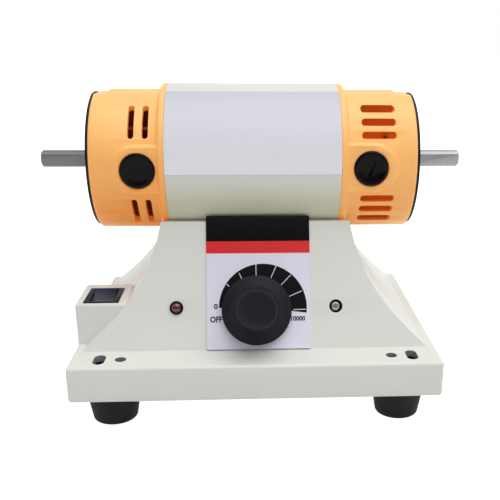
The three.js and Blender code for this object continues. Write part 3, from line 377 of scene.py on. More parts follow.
# Stoved cream enamel over cast aluminium: satin, with the faint ripple that sprayed paint keeps.
enamel, tree, shader, place, _ = two_tone(
    "stoved_enamel", 0.4, 22, 2, "DFE1DA", "E4E6E0", Specular_IOR_Level=0.45)
ripple = add_node(tree, "TexNoise", {"Vector": place, "Scale": 700, "Detail": 2, "Roughness": 0.45})
cast_skin = add_node(tree, "TexNoise", {"Vector": place, "Scale": 160, "Detail": 3})
satin = add_node(tree, "MapRange", {"Value": cast_skin, "To Min": 0.34, "To Max": 0.46})
height = add_node(tree, "Math", {0: cast_skin, 1: 0.8, 2: ripple}, operation="MULTIPLY_ADD")
relief = add_node(tree, "Bump", {"Height": height, "Strength": 0.35, "Distance": 0.05 * mm})
feed(shader, {"Roughness": satin, "Normal": relief})
casting.name = "pedestal_casting"
fit_piece(casting, enamel, "cream_enamel", "pedestal", "base_casting")

# Hole walls: the walls of the deck's holes are a dull violet grey, painted darker than the enamel as painted
# shade in the holes.
# The triac's recess is painted black, as painted shade, so only its screw shines there.
for name, dark, light in (("painted_shade_hole_grey", "8C8C94", "9A9AA2"), ("painted_shade_black_recess", "0B0B0C", "111112")):
    bored, *_ = two_tone(name, 0.6, 900, 3, dark, light, Specular_IOR_Level=0.2)
    casting.data.materials.append(bored)
for face in casting.data.polygons:
    x, y, z = face.center / mm
    spot = triac_place.inverted() @ face.center / mm
    in_deck_hole = -59 < y < -48 and 57 < abs(x) < 73 and deck_top - wall < z < deck_top - 0.1
    if math.hypot(spot.x, spot.y) < 3.1 and -9 < spot.z < -0.1:
        face.material_index = 2
    elif in_deck_hole and abs(face.normal.z) < 0.5:
        face.material_index = 1

# Bottom cover and foot screws: a zinc-plated sheet shuts the casting from below, and the feet clamp it.
# The four pan-head screws go up through the feet into the casting, their heads deep in the rubber.
def dress(finish, *names):
    """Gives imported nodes, whose own shape is right, their finish."""
    for name in names:
        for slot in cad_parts[name].material_slots:
            slot.material = finish


def make_screw(name, head, rise, shank, length):
    """A pan-head screw along Z with its head up and a tapered cross recess."""
    screw = turn_piece(name, [
        (shank * 0.75, -length), (shank, -length + 0.6), (shank, 0), (head, 0), (head, rise * 0.45),
        (head * 0.95, rise * 0.72), (head * 0.8, rise * 0.92), (head * 0.5, rise)], 48)
    for quarter in (0, 1):
        bit = add_block((-head * 0.55, -head * 0.13, rise * 0.3), (head * 0.55, head * 0.13, rise + 1))
        select_where(bit, lambda p: p.z < rise)
        bpy.ops.transform.resize(value=(0.7, 0.6, 1), center_override=(0, 0, 0))
        bpy.ops.object.mode_set(mode="OBJECT")
        set_down(bit, Matrix.Rotation(quarter * math.pi / 2, 4, "Z"))
        join_or_cut(screw, bit)
    return screw


# Zinc plate, passivated clear: a bluish silver, its spangle drawn a little coarse so that it shows.
zinc, tree, shader, place, _ = two_tone("zinc_plated_steel", 0.36, 120, 4, "A2A5A8", "BFC1C3", Metallic=1.0)
spangle = add_node(tree, "TexVoronoi", {"Vector": place, "Scale": 450})
dull = add_node(tree, "MapRange", {"Value": spangle, "To Min": 0.3, "To Max": 0.45})
feed(shader, {"Roughness": dull})
dress(zinc, "bottom_cover")

for name in foot_names:
    screw = make_screw("screw_of_" + name, 4, 2.6, 2, 19.9)
    set_down(screw, foot_place(name, well_top) @ Matrix.Rotation(math.pi, 4, "X"))
    fit_piece(screw, zinc, "zinc_steel", "pedestal", name + "_screw")

# Cable grommet: a moulded rubber bush for the mains lead.
# It is snapped into its hole in the rear skirt, which lies in the groove between its two flanges.
grommet = turn_piece("cable_grommet_bush", [
    (2.5, -4.8), (5.3, -4.8), (5.3, -3.3), (3.8, -3.3), (3.8, 0), (5.3, 0), (5.3, 0.75), (4.9, 1.2),
    (3.8, 1.5), (2.8, 1.5), (2.5, 1.2)], 64, bored=True)
set_down(grommet, inlet_place)
fit_piece(grommet, rubber, "black_rubber", "pedestal", "cable_grommet")

# Control panel: a thin aluminium plate under a printed film, its lower edge curled a little off the face.
# It carries the scale of the speed control, and the nut of that control holds it.
plate = add_block((-22.8, 0.05, 0), (24.6, 61.2, 1))
round_corners(plate, 0.5, 3)
stripe_low, stripe_high = 43.9, 49.4


def score(piece, point, normal):
    """Cuts a line round a piece where a plane meets it."""
    pick_up(piece)
    bpy.ops.object.mode_set(mode="EDIT")
    bpy.ops.mesh.select_all(action="SELECT")
    bpy.ops.mesh.bisect(plane_co=Vector(point) * mm, plane_no=normal)
    bpy.ops.object.mode_set(mode="OBJECT")


for line in (0.8, 1.3, 1.8, stripe_low - 0.45, stripe_low, stripe_high):
    score(plate, (0, line, 0), (0, 1, 0))
for line, lift in ((1.4, 0.08), (0.9, 0.16), (0.5, 0.26)):
    select_where(plate, lambda p: p.y < line)
    bpy.ops.transform.translate(value=(0, 0, lift * mm))
    bpy.ops.object.mode_set(mode="OBJECT")
join_or_cut(plate, add_bar(dial_bore, -1, 3, 48, Matrix.Translation((0, dial_height * mm, 0))))
round_edges(plate, 0.12, 2, 40)


def printed_film(name, hex_code, other_code, roughness, gloss=0.4):
    """Screen-printed polyester film: one even ink under a satin face, with a trace of orange peel."""
    film, tree, shader, place, _ = two_tone(
        name, roughness, 35, 3, hex_code, other_code, Specular_IOR_Level=gloss)
    peel = add_node(tree, "TexNoise", {"Vector": place, "Scale": 420, "Detail": 2})
    relief = add_node(tree, "Bump", {"Height": peel, "Strength": 0.15, "Distance": 0.03 * mm})
    feed(shader, {"Normal": relief})
    return film


lavender_film = printed_film("lavender_printed_film", "E3E1F1", "E9E7F5", 0.42)
red_film = printed_film("red_printed_film", "DE2428", "E42B2E", 0.4)
pale_film = printed_film("bare_white_film", "EAD2D7", "ECD4D9", 0.42)
header_film = printed_film("gloss_black_film", "09090B", "0D0D10", 0.16, 0.12)
for film in (lavender_film, red_film, pale_film, header_film):
    plate.data.materials.append(film)
for face in plate.data.polygons:
    y = face.center.y / mm
    zone = 0 if y < stripe_low - 0.45 else 2 if y < stripe_low else 1 if y < stripe_high else 3
    face.material_index = zone
set_down(plate, face_frame)
plate.name = "control_panel_plate"
fit_piece(plate, None, "panel_film", "pedestal", "control_panel")

# Scale of the speed control: a black ring with white strokes, and the figures at its ends.
# All are screen-printed in thin ink on the panel's film, and the knob covers the ring's middle.
plate_face, ink_depth = 1, 0.05
ring_outer, ring_inner = 20, 12.2
clear_bench()
bpy.ops.mesh.primitive_circle_add(
    vertices=288, radius=ring_outer * mm, fill_type="NOTHING", location=(0, 0, plate_face * mm))
ring = bpy.context.object
bpy.ops.object.transform_apply()
bpy.ops.object.mode_set(mode="EDIT")
bpy.ops.mesh.select_all(action="SELECT")
bpy.ops.mesh.extrude_region_move()
narrowing = ring_inner / ring_outer
bpy.ops.transform.resize(value=(narrowing, narrowing, 1), center_override=(0, 0, plate_face * mm))
bpy.ops.object.mode_set(mode="OBJECT")
for face in ring.data.polygons:
    angle = math.degrees(math.atan2(face.center.y, face.center.x))
    face.select = -90 < angle < -7.5 or face.center.y < 0 > face.center.x
bpy.ops.object.mode_set(mode="EDIT")
bpy.ops.mesh.select_mode(type="FACE")
bpy.ops.mesh.delete(type="FACE")
bpy.ops.mesh.select_all(action="SELECT")
bpy.ops.mesh.extrude_region_move(TRANSFORM_OT_translate={"value": (0, 0, ink_depth * mm)})
bpy.ops.mesh.select_mode(type="VERT")
face_outward()
set_down(ring, face_frame @ shift(2.9, 19, 0))
ring.name = "scale_ring_print"
ink_black = printed_film("black_screen_ink", "0B0B11", "101016", 0.38, 0.15)
fit_piece(ring, ink_black, "panel_film", "pedestal")

ink_white = printed_film("white_screen_ink", "D8D8DC", "E2E2E6", 0.5)
strokes = []
for degrees, start, end in (
        (138.2, 16.6, 18.2), (114.6, 15.9, 18.8), (90.4, 16, 21), (65.8, 16.2, 22.3), (45.6, 16.2, 22.5),
        (22.7, 16.2, 22.5), (0.6, 16.8, 22.5)):
    stroke = add_block((start, -0.19, 1.05), (end, 0.19, 1.1))
    set_down(stroke, dial_place @ Matrix.Rotation(math.radians(degrees), 4, "Z"))
    strokes.append(stroke)


def gather(pieces):
    """Joins separate meshes into the first of them."""
    pick_up(pieces[0])
    for piece in pieces:
        piece.select_set(True)
    bpy.ops.object.join()
    return pieces[0]


strokes = gather(strokes)
strokes.name = "scale_stroke_prints"
fit_piece(strokes, ink_white, "panel_film", "pedestal")

figures = []
for words, place_x, place_y, width, height in (
        ("0", -18.5, 19.7, 1.8, 2.4), ("OFF", -18.4, 13.8, 5.4, 2.8), ("10000", 18.9, 13.8, 6.4, 2.2)):
    clear_bench()
    bpy.ops.object.text_add()
    figure = bpy.context.object
    figure.data.body = words
    figure.data.resolution_u = 6
    figure.data.offset = 0.035
    bpy.ops.object.convert(target="MESH")
    figure = bpy.context.object
    xs, ys = ([v.co[i] for v in figure.data.vertices] for i in (0, 1))
    bpy.ops.object.mode_set(mode="EDIT")
    bpy.ops.mesh.select_all(action="SELECT")
    bpy.ops.transform.translate(value=(-(min(xs) + max(xs)) / 2, -(min(ys) + max(ys)) / 2, 0))
    wide, high = (max(xs) - min(xs)) / mm, (max(ys) - min(ys)) / mm
    bpy.ops.transform.resize(value=(width / wide, height / high, 1), center_override=(0, 0, 0))
    bpy.ops.mesh.extrude_region_move(TRANSFORM_OT_translate={"value": (0, 0, ink_depth * mm)})
    face_outward()
    set_down(figure, face_frame @ shift(place_x, place_y, plate_face))
    figures.append(figure)
figures = gather(figures)
figures.name = "scale_figure_prints"
ink_dark = printed_film("dark_screen_ink", "1A1A24", "22222C", 0.45)
fit_piece(figures, ink_dark, "panel_film", "pedestal")

# Speed control: a wire-wound potentiometer behind the face, with a hexagon nut on its bush in front.
# Bright brass shaft, plated body and nut; the knob hides all but their edges.
brass, *_ = two_tone("turned_brass", 0.3, 350, 3, "B8924A", "D3B26A", Metallic=1.0)
dress(zinc, "potentiometer_body", "potentiometer_nut")
dress(brass, "potentiometer_shaft")

# Speed knob: one black moulding, a low skirt that sweeps up in a hollow cone to a round cap.
# It pushes onto the shaft from the front; its top is very slightly dished inside a fine raised rim.
cone_steps = 14
cone = []
for i in range(cone_steps + 1):
    t = i / cone_steps
    radius = 15.8 * (1 - t) ** 2 + 2 * 10.2 * t * (1 - t) + 9.2 * t * t
    cone.append((radius, 4.8 * (1 - t) ** 2 + 2 * 6.2 * t * (1 - t) + 10.2 * t * t))
knob = turn_piece("speed_control_knob", [
    (3.3, 17), (3.3, 9.2), (7.4, 9.2), (7.4, 2.2), (15.2, 2.2), (15.6, 2.35), (15.8, 2.8), (15.8, 4.5),
    *cone[1:], (8.75, 18.4), (8.6, 19.1), (8.35, 19.55), (8.0, 19.7), (7.75, 19.62), (7.55, 19.5),
    (4, 19.42)], 144)
set_down(knob, dial_place)

# Black ABS, moulded with a fine spark finish: a soft bluish sheen that spreads wide.
abs_black, tree, shader, place, rub = two_tone(
    "moulded_black_abs", 0.5, 90, 3, "18181E", "1F1F26", Specular_IOR_Level=0.14)
spark = add_node(tree, "TexNoise", {"Vector": place, "Scale": 1500, "Detail": 3})
satin = add_node(tree, "MapRange", {"Value": rub, "To Min": 0.44, "To Max": 0.56})
relief = add_node(tree, "Bump", {"Height": spark, "Strength": 0.3, "Distance": 0.03 * mm})
feed(shader, {"Roughness": satin, "Normal": relief})
fit_piece(knob, abs_black, "matt_black", "dial", "speed_knob")

# Indicator lamp: a turned black bezel with a domed lens of red acrylic in it.
# The bezel is pressed into its hole in the face from the front.
bezel = turn_piece("lamp_bezel_ring", [
    (2.6, -6), (2.8, -6), (2.8, 0), (3.02, 0), (3.1, 0.2), (3.07, 0.5), (2.97, 0.7), (2.85, 0.8),
    (2.7, 0.72), (2.6, 0.5)], 64, bored=True)
set_down(bezel, lamp_place)
dome = [(2.5 * math.cos(t), 1.9 * math.sin(t)) for t in (math.radians(7.5 * i) for i in range(12))]
lens = turn_piece("lamp_red_lens", [(2.5, -6), *dome], 64)
set_down(lens, lamp_place)

# Glossy phenolic, compression moulded: near black, with a clear thin polish and faint filler specks.
phenolic, tree, shader, place, filler = two_tone(
    "black_phenolic_moulding", 0.16, 800, 4, "08080A", "0E0E11", Specular_IOR_Level=0.08)
polish = add_node(tree, "MapRange", {"Value": filler, "To Min": 0.1, "To Max": 0.2})
feed(shader, {"Roughness": polish})
fit_piece(bezel, phenolic, "black_phenolic", "pedestal", "lamp_bezel")

# Tinted acrylic, unlit: deep wine red, darker towards the rim where the eye looks through more of it.
acrylic, tree, shader, place = new_finish("tinted_red_acrylic", 0.12, Coat_Weight=0.6, Coat_Roughness=0.05)
rim = add_node(tree, "LayerWeight", {"Blend": 0.35})
facets = add_node(tree, "TexNoise", {"Vector": place, "Scale": 500, "Detail": 2})
depth = add_node(tree, "Math", {0: facets, 1: 0.3, 2: rim.outputs["Facing"]}, operation="MULTIPLY_ADD")
shade = add_node(tree, "Mix", {
    "Factor": depth, "A": colour("5C1019"), "B": colour("24050A")}, data_type="RGBA")
feed(shader, {"Base Color": shade})
fit_piece(lens, acrylic, "red_lens", "pedestal", "lamp_lens")

# Triac and its screw: the power switch of the speed control, in a moulded black case.
# A plated pan-head screw from the front clamps it behind its boss on the face.
dress(phenolic, "triac")
screw = make_screw("triac_pan_screw", 2.3, 1.4, 1.5, 12.4)
screw_seat = triac_place @ Matrix.Translation((0, 0, -screw_recess * mm))
set_down(screw, screw_seat @ Matrix.Rotation(math.radians(25), 4, "Z"))
fit_piece(screw, zinc, "zinc_steel", "pedestal", "triac_screw")

# Rocker switch: a black nylon housing snapped down into the switch box, and a slate-coloured rocker.
# The rocker pivots on two pins across the housing; it stands pressed at the front.
housing = add_block((-6.3, -9, -13), (6.3, 9, 0.3))
join_or_cut(housing, add_block((-7.95, -9.6, 0), (7.95, 9.6, 0.5)), "UNION")
join_or_cut(housing, add_block((-5.6, -8.4, -6), (5.6, 8.4, 6)))
round_edges(housing, 0.15, 2, 40)
switch_place = shift(-70.75, -25.4, box_top)
housing.name = "switch_housing"
set_down(housing, switch_place)
fit_piece(housing, abs_black, "matt_black", "pedestal", "switch_body")

rocker_half, rocker_rise, rocker_depth = 7.8, 0.2, 3
rocker = add_block((-5.5, -rocker_half, -rocker_depth), (4.8, rocker_half, rocker_rise))
rows = [rocker_half * math.sin(math.radians(angle)) for angle in range(-80, 81, 10)]
for row in rows:
    score(rocker, (0, row, 0), (0, 1, 0))
for row in (-rocker_half, *rows, rocker_half):
    along = abs(row) / rocker_half
    top = rocker_rise - 0.7 * (1 - along) - 0.25 * math.sin(math.pi * along)
    for start, goal in ((rocker_rise, top), (-rocker_depth, -rocker_depth * math.sqrt(1 - along * along))):
        select_where(rocker, lambda p: abs(p.y - row) < 0.01 and abs(p.z - start) < 0.01)
        bpy.ops.transform.translate(value=(0, 0, (goal - start) * mm))
        bpy.ops.object.mode_set(mode="OBJECT")
round_edges(rocker, 0.08, 2, 40)
rocker.name = "switch_rocker_paddle"
set_down(rocker, switch_place @ Matrix.Rotation(math.radians(6), 4, "X"))

# Slate nylon, polished in its mould: dark blue-grey with a broad soft gloss.
nylon_slate, tree, shader, place, flow = two_tone(
    "slate_nylon_moulding", 0.3, 150, 3, "232638", "2A2E42", Specular_IOR_Level=0.1)
gloss = add_node(tree, "MapRange", {"Value": flow, "To Min": 0.25, "To Max": 0.36})
feed(shader, {"Roughness": gloss})
fit_piece(rocker, nylon_slate, "slate_nylon", "rocker", "switch_rocker")

# Works under the cover: a glass-epoxy board on pillars with its blue suppression capacitor.
# Two steel bolts hold the motor down in the saddle from inside the pedestal.
epoxy, tree, shader, place = new_finish("glass_epoxy_board", 0.42, Specular_IOR_Level=0.5)
weave = add_node(tree, "TexWave", {"Vector": place, "Scale": 600, "Distortion": 1.5})
mask = add_node(tree, "TexNoise", {"Vector": place, "Scale": 80, "Detail": 2})
blend = add_node(tree, "Math", {0: weave.outputs["Fac"], 1: 0.4, 2: mask}, operation="MULTIPLY_ADD")
shade = add_node(tree, "Mix", {
    "Factor": blend, "A": colour("235A32"), "B": colour("357745")}, data_type="RGBA")
feed(shader, {"Base Color": shade})
dress(epoxy, "circuit_board")

# Polypropylene capacitor case: a saturated blue moulding with a soft shine.
case_blue, *_ = two_tone("blue_capacitor_case", 0.35, 140, 3, "25427F", "30529A")
dress(case_blue, "capacitor")
dress(zinc, "left_saddle_bolt", "right_saddle_bolt")

# Stator: a stack of silicon-steel stampings with two poles, and a wound coil round each.
# The laminations are 0.5 mm thick and show as fine lines along the stack under dark varnish.
laminated, tree, shader, place = new_finish("varnished_laminations", 0.45, Metallic=0.85)
across = add_node(tree, "SeparateXYZ", {"Vector": place})
sheets = add_node(tree, "Math", {0: across.outputs["X"], 1: 2 * math.pi / (1.0 * mm)}, operation="MULTIPLY")
lines = add_node(tree, "Math", {0: sheets}, operation="SINE")
stain = add_node(tree, "TexNoise", {"Vector": place, "Scale": 90, "Detail": 4})
depth = add_node(tree, "Math", {0: lines, 1: 0.25, 2: stain}, operation="MULTIPLY_ADD")
shade = add_node(tree, "Mix", {
    "Factor": depth, "A": colour("55575A"), "B": colour("85878A")}, data_type="RGBA")
relief = add_node(tree, "Bump", {"Height": lines, "Strength": 0.4, "Distance": 0.08 * mm})
feed(shader, {"Base Color": shade, "Normal": relief})
dress(laminated, "stator_core", "rotor_core")

# Enamelled copper wire, 0.4 mm: the winding reads as close parallel turns with a resinous shine.
magnet_wire, tree, shader, place = new_finish("enamelled_copper_wire", 0.28, Metallic=0.9)
turns = add_node(tree, "TexWave", {"Vector": place, "Scale": 190, "Distortion": 2.0, "Detail": 1})
resin = add_node(tree, "TexNoise", {"Vector": place, "Scale": 70, "Detail": 3})
blend = add_node(tree, "Math", {0: turns.outputs["Fac"], 1: resin}, operation="MULTIPLY")
shade = add_node(tree, "Mix", {
    "Factor": blend, "A": colour("7A3F1C"), "B": colour("C98550")}, data_type="RGBA")
relief = add_node(tree, "Bump", {"Height": turns.outputs["Fac"], "Strength": 0.7, "Distance": 0.2 * mm})
feed(shader, {"Base Color": shade, "Normal": relief})
dress(magnet_wire, "upper_field_coil", "lower_field_coil", "armature_winding")

# Rotor works, bearings and brush gear: a turned copper commutator on the spindle, which runs in ground rings.
# Carbon brushes slide in brass holders, pressed in by plated springs behind the right bell's two caps.
drawn_copper, *_ = two_tone("turned_copper", 0.3, 110, 4, "9C5F38", "D28F62", Metallic=1.0)
dress(drawn_copper, "commutator")
dress(brass, "front_brush_holder", "rear_brush_holder")
dress(zinc, "front_brush_spring", "rear_brush_spring")

# Pressed carbon: dull black-grey with a graphite glint.
graphite, *_ = two_tone("pressed_carbon", 0.6, 900, 5, "1E1E20", "3A3A3D", Metallic=0.2)
dress(graphite, "front_carbon_brush", "rear_carbon_brush")

# Ground steel: bright, with the fine marks of grinding round it, drawn coarser than life so that they show.
# Its left end is painted a darker, warmer grey: painted shade for the dimmer reflections on that side.
ground, tree, shader, place = new_finish("ground_steel", 0.24, Metallic=1.0)
stretch = add_node(tree, "Mapping", {"Vector": place, "Scale": (1.0, 0.04, 0.04)})
marks = add_node(tree, "TexNoise", {"Vector": stretch, "Scale": 2600, "Detail": 3})
ground_tone = add_node(tree, "Mix", {
    "Factor": marks, "A": colour("8A8A8D"), "B": colour("AAAAAD")}, data_type="RGBA")
where = add_node(tree, "SeparateXYZ", {"Vector": place})
left_end_painted_shade = add_node(tree, "MapRange", {
    "Value": where.outputs["X"], "From Min": -75 * mm, "From Max": -40 * mm, "To Min": 0.9, "To Max": 0})
shade = add_node(tree, "Mix", {"Factor": left_end_painted_shade, "A": ground_tone, "B": colour("6E6A6B")}, data_type="RGBA")
dull = add_node(tree, "MapRange", {"Value": marks, "To Min": 0.44, "To Max": 0.58})
relief = add_node(tree, "Bump", {"Height": marks, "Strength": 0.25, "Distance": 0.02 * mm})
feed(shader, {"Base Color": shade, "Roughness": dull, "Normal": relief})
for end in ("left", "right"):
    dress(ground, end + "_bearing_outer_ring", end + "_bearing_inner_ring", end + "_bearing_ball_cage")

# Motor sleeve: a rolled steel tube in the pedestal's stoved enamel.
# It is bedded in the saddle and held there by two bolts from below.
sleeve_end, sleeve_inner, sleeve_outer = 39.3, 34.2, 35.4
sleeve = turn_piece("enamelled_motor_sleeve", [
    (sleeve_inner, -sleeve_end), (sleeve_outer, -sleeve_end), (sleeve_outer, sleeve_end),
    (sleeve_inner, sleeve_end)], 192, bored=True)
round_edges(sleeve, 0.25, 2, 50)
set_down(sleeve, motor_frame)
for side in (-1, 1):
    bolt_hole = add_bar(2.05, -38, -30, 32, Matrix.Translation((motor + Vector((side * 22, 0, 0))) * mm))
    join_or_cut(sleeve, bolt_hole)


def fade_downward(finish, low, high, hex_code):
    """Passes a finish's colour over into another one from a height down to a lower one, in millimetres."""
    tree = finish.node_tree
    shader = tree.nodes["Principled BSDF"]
    own = shader.inputs["Base Color"].links[0].from_socket
    rise = add_node(tree, "SeparateXYZ", {"Vector": add_node(tree, "TexCoord").outputs["Object"]})
    fade = add_node(tree, "MapRange", {
        "Value": rise.outputs["Z"], "From Min": low * mm, "From Max": high * mm, "To Min": 1, "To Max": 0})
    shade = add_node(tree, "Mix", {"Factor": fade, "A": own, "B": colour(hex_code)}, data_type="RGBA")
    feed(shader, {"Base Color": shade})


# The sleeve's enamel is the pedestal's, painted darker and warmer low down: painted shade, with a painted
# reflection of the saddle's cream.
sleeve_enamel = enamel.copy()
sleeve_enamel.name = "stoved_enamel_painted_shade_below"
fade_downward(sleeve_enamel, 100, 112, "D6D5BE")
fit_piece(sleeve, sleeve_enamel, "cream_enamel", "pedestal", "motor_sleeve")

# Sleeve label: a plain printed film in silver-lilac, as long as the sleeve.
# It is stuck round the sleeve's upper front, just clear of the enamel's own roundness.
label_inner, label_outer = 35.45, 35.7
clear_bench()
bpy.ops.mesh.primitive_circle_add(
    vertices=360, radius=label_inner * mm, fill_type="NOTHING", location=(0, 0, -sleeve_end * mm))
label = bpy.context.object
bpy.ops.object.transform_apply()
set_down(label, motor_frame)
select_where(label, lambda p: not -2.1 < math.degrees(math.atan2(p.z - motor.z, motor.y - p.y)) < 67.1)
bpy.ops.mesh.delete(type="VERT")
bpy.ops.mesh.select_all(action="SELECT")
bpy.ops.mesh.extrude_region_move(TRANSFORM_OT_translate={"value": (2 * sleeve_end * mm, 0, 0)})
bpy.ops.mesh.select_all(action="SELECT")
bpy.ops.mesh.extrude_region_move()
swell = label_outer / label_inner
bpy.ops.transform.resize(value=(1, swell, swell), center_override=motor * mm)
face_outward()
label.name = "plain_sleeve_label"
label_film = printed_film("silver_lilac_label_film_painted_light_below", "CACAD5", "CFCFD9", 0.45)
# The film's colour is painted lighter towards the bottom, up to near white: painted light against the shade
# low on the sleeve.
fade_downward(label_film, 112, 146, "F8F8FF")
fit_piece(label, label_film, "label_film", "pedestal", "sleeve_label")

# End bells: two orange nylon mouldings that close the motor, with a lip against the sleeve.
# Each has a flat boss front and rear for a cap; the left has curved air slots, the right straight vents.
along_x = Matrix.Rotation(math.pi / 2, 4, "Y")
end_frames = {"left": Matrix.Translation(motor * mm) @ Matrix.Rotation(math.pi, 4, "Z"),
              "right": Matrix.Translation(motor * mm)}
bell_ends = {"left": 73.0, "right": 74.1}
cap_places = {"left": 51.5, "right": 52.85}
cap_seat_height = 32.6
bell_screw_ring = 27.8
bell_screw_hole = 1.8
tilt = {"left": Matrix.Identity(4), "right": Matrix.Rotation(math.radians(-1.5), 4, "X")}
faces_out = {"front": Matrix.Rotation(math.pi / 2, 4, "X"), "rear": Matrix.Rotation(-math.pi / 2, 4, "X")}


def cap_seat(side, face):
    """Puts what points up Z at a cap's place on the front or the rear of a bell."""
    return tilt[side] @ faces_out[face] @ Matrix.Translation((cap_places[side] * mm, 0, 0))


def turn_about_x(degrees):
    """Turns what points up Z round the motor's axis, to an angle above its front."""
    return Matrix.Rotation(math.radians(90 - degrees), 4, "X")


def copy_of(piece, matrix):
    """A copy with a mesh of its own, moved by a matrix."""
    twin = piece.copy()
    twin.data = piece.data.copy()
    bpy.context.collection.objects.link(twin)
    set_down(twin, matrix)
    return twin


def make_bell(side, guide_inner, cutters):
    """A bell whose mouth looks along X: cup, cap bosses, brush guides, screw holes and air slots."""
    end = bell_ends[side]
    bell = turn_piece(side + "_end_bell_moulding", [
        (29.7, 36.3), (33.9, 36.3), (33.9, sleeve_end), (35.1, sleeve_end), (35.4, 39.6), (35.4, 41.3),
        (35.15, 41.95), (34.5, 42.3), (33.9, 42.4), (33.3, 42.6), (32.9, 43.0), (32.7, 43.7),
        (32.7, end - 1.5), (32.6, end - 0.8), (32.25, end - 0.3), (31.6, end), (5.2, end), (5.2, end - 2.6),
        (11.3, end - 2.6), (11.3, end - 9.6), (14.3, end - 9.6), (14.3, end - 2.6), (29.7, end - 2.6)],
        192, bored=True)
    set_down(bell, along_x)
    place = cap_places[side]
    for face in faces_out:
        rings = [(12.0, 27.8), (11.4, 31.0), (10.9, 32.7), (10.6, 33.3), (10.3, 33.5)]
        tongue = turn_piece("tongue", rings)
        set_down(tongue, Matrix.Translation((place * mm, 0, 0)))
        for radius, height in rings:
            select_where(tongue, lambda p: p.x > place + 0.1 and abs(p.z - height) < 0.05)
            spread = 1 + 0.19 * min((33.5 - height) / 0.8, 1)
            bpy.ops.transform.resize(value=(spread, 1, 1), center_override=(place * mm, 0, 0))
            bpy.ops.object.mode_set(mode="OBJECT")
        select_where(tongue, lambda p: p.x < place - 0.1)
        bpy.ops.transform.translate(value=(-13 * mm, 0, 0))
        bpy.ops.mesh.select_all(action="SELECT")
        bpy.ops.mesh.bisect(plane_co=(40 * mm, 0, 0), plane_no=(1, 0, 0), use_fill=True, clear_inner=True)
        bpy.ops.object.mode_set(mode="OBJECT")
        set_down(tongue, tilt[side] @ faces_out[face])
        join_or_cut(tongue, add_bar(29.9, 30, 70, 192, along_x))
        join_or_cut(bell, tongue, "UNION")
        join_or_cut(bell, add_bar(8.8, guide_inner, 33, 64, cap_seat(side, face)), "UNION")
    for face in faces_out:
        join_or_cut(bell, add_bar(5.8, 10, 40, 64, cap_seat(side, face)))
        join_or_cut(bell, add_bar(8.1, cap_seat_height, 40, 96, cap_seat(side, face)))
    for level in (-1, 1):
        screw_line = Matrix.Translation((0, 0, level * bell_screw_ring * mm)) @ along_x
        join_or_cut(bell, add_bar(bell_screw_hole, 60, 80, 32, screw_line))
    join_or_cut(bell, add_block((66.5, -34, 30.9), (78, 34, 36)))
    join_or_cut(bell, gather(cutters))
    round_edges(bell, 0.3, 2, 38)
    return bell


vents = []
for rise in (14.3, 19.75, 25.25, -14.3, -19.75, -25.25):
    vent = stretch_bar(1.65, 15.8, 0, 36, 0)
    set_down(vent, tilt["right"] @ Matrix.Translation((56.6 * mm, 0, rise * mm)) @ faces_out["front"])
    vents.append(vent)
right_bell = make_bell("right", 16, vents)

slots = []
for middle in (47.9, 54.2):
    slot = turn_piece("slot", [(27, -1.4), (37, -1.4), (37, 1.4), (27, 1.4)], 360, bored=True)
    set_down(slot, Matrix.Translation((middle * mm, 0, 0)) @ along_x)
    select_where(slot, lambda p: not 26.9 < math.degrees(math.atan2(p.z, -p.y)) < 53.1)
    bpy.ops.mesh.delete(type="VERT")
    bpy.ops.mesh.select_all(action="SELECT")
    bpy.ops.mesh.fill_holes(sides=4)
    face_outward()
    for angle in (27.1, 52.9):
        end = turn_about_x(angle) @ Matrix.Translation((middle * mm, 0, 0))
        join_or_cut(slot, add_bar(1.38, 27.05, 36.95, 32, end), "UNION")
    for turn in (80, -180, -100):
        slots.append(copy_of(slot, Matrix.Rotation(math.radians(turn), 4, "X")))
    slots.append(slot)
left_bell = make_bell("left", 27.4, slots)

# Nylon in a daylight-fluorescent orange: satin, slightly waxy, and it lets a little red light through.
# A faint even emitted glow is painted light, though the part is no lamp; it stands for the pigment giving
# back more red than falls on it.
# The colour is painted deeper low down and towards the left: painted shade.
nylon, tree, shader, place = new_finish(
    "fluorescent_orange_nylon_painted_glow_and_shade", 0.42, Subsurface_Weight=0.2, Subsurface_Scale=1.5 * mm,
    Subsurface_Radius=(1.0, 0.4, 0.08), Emission_Color=colour("FF7420"), Emission_Strength=0.13)
flow = add_node(tree, "TexNoise", {"Vector": place, "Scale": 45, "Detail": 3})
fibres = add_node(tree, "TexNoise", {"Vector": place, "Scale": 900, "Detail": 3})
pale = add_node(tree, "Mix", {"Factor": flow, "A": colour("FCC270"), "B": colour("FECC7E")}, data_type="RGBA")
where = add_node(tree, "SeparateXYZ", {"Vector": place})
# Painted shade: the orange is mixed towards a deeper one low down and towards the left.
low = add_node(tree, "MapRange", {
    "Value": where.outputs["Z"], "From Min": 86 * mm, "From Max": 128 * mm, "To Min": 1, "To Max": 0})
painted_shade_leftward = add_node(tree, "MapRange", {
    "Value": where.outputs["X"], "From Min": -40 * mm, "From Max": 40 * mm, "To Min": 1, "To Max": 0.35})
depth = add_node(tree, "Math", {0: low, 1: painted_shade_leftward}, operation="MULTIPLY")
shade = add_node(tree, "Mix", {
    "Factor": depth, "A": pale, "B": colour("F9A440")}, data_type="RGBA")
satin = add_node(tree, "MapRange", {"Value": fibres, "To Min": 0.36, "To Max": 0.48})
relief = add_node(tree, "Bump", {"Height": fibres, "Strength": 0.25, "Distance": 0.04 * mm})
feed(shader, {"Base Color": shade, "Roughness": satin, "Normal": relief})
for end, bell in (("left", left_bell), ("right", right_bell)):
    set_down(bell, end_frames[end])
    fit_piece(bell, nylon, "orange_nylon", "pedestal", end + "_end_bell")

# Cooling fan: pressed on the spindle behind the left bell's slots, moulded in the bells' nylon.
# It is painted a dark rusty brown as painted shade for the dark inside of the bell, so that it shows dark
# between the slots' edges.
painted_shade_fan_nylon, *_ = two_tone("painted_shade_brown_nylon", 0.6, 60, 3, "8A4E40", "985C4B", Specular_IOR_Level=0.2)
dress(painted_shade_fan_nylon, "cooling_fan")

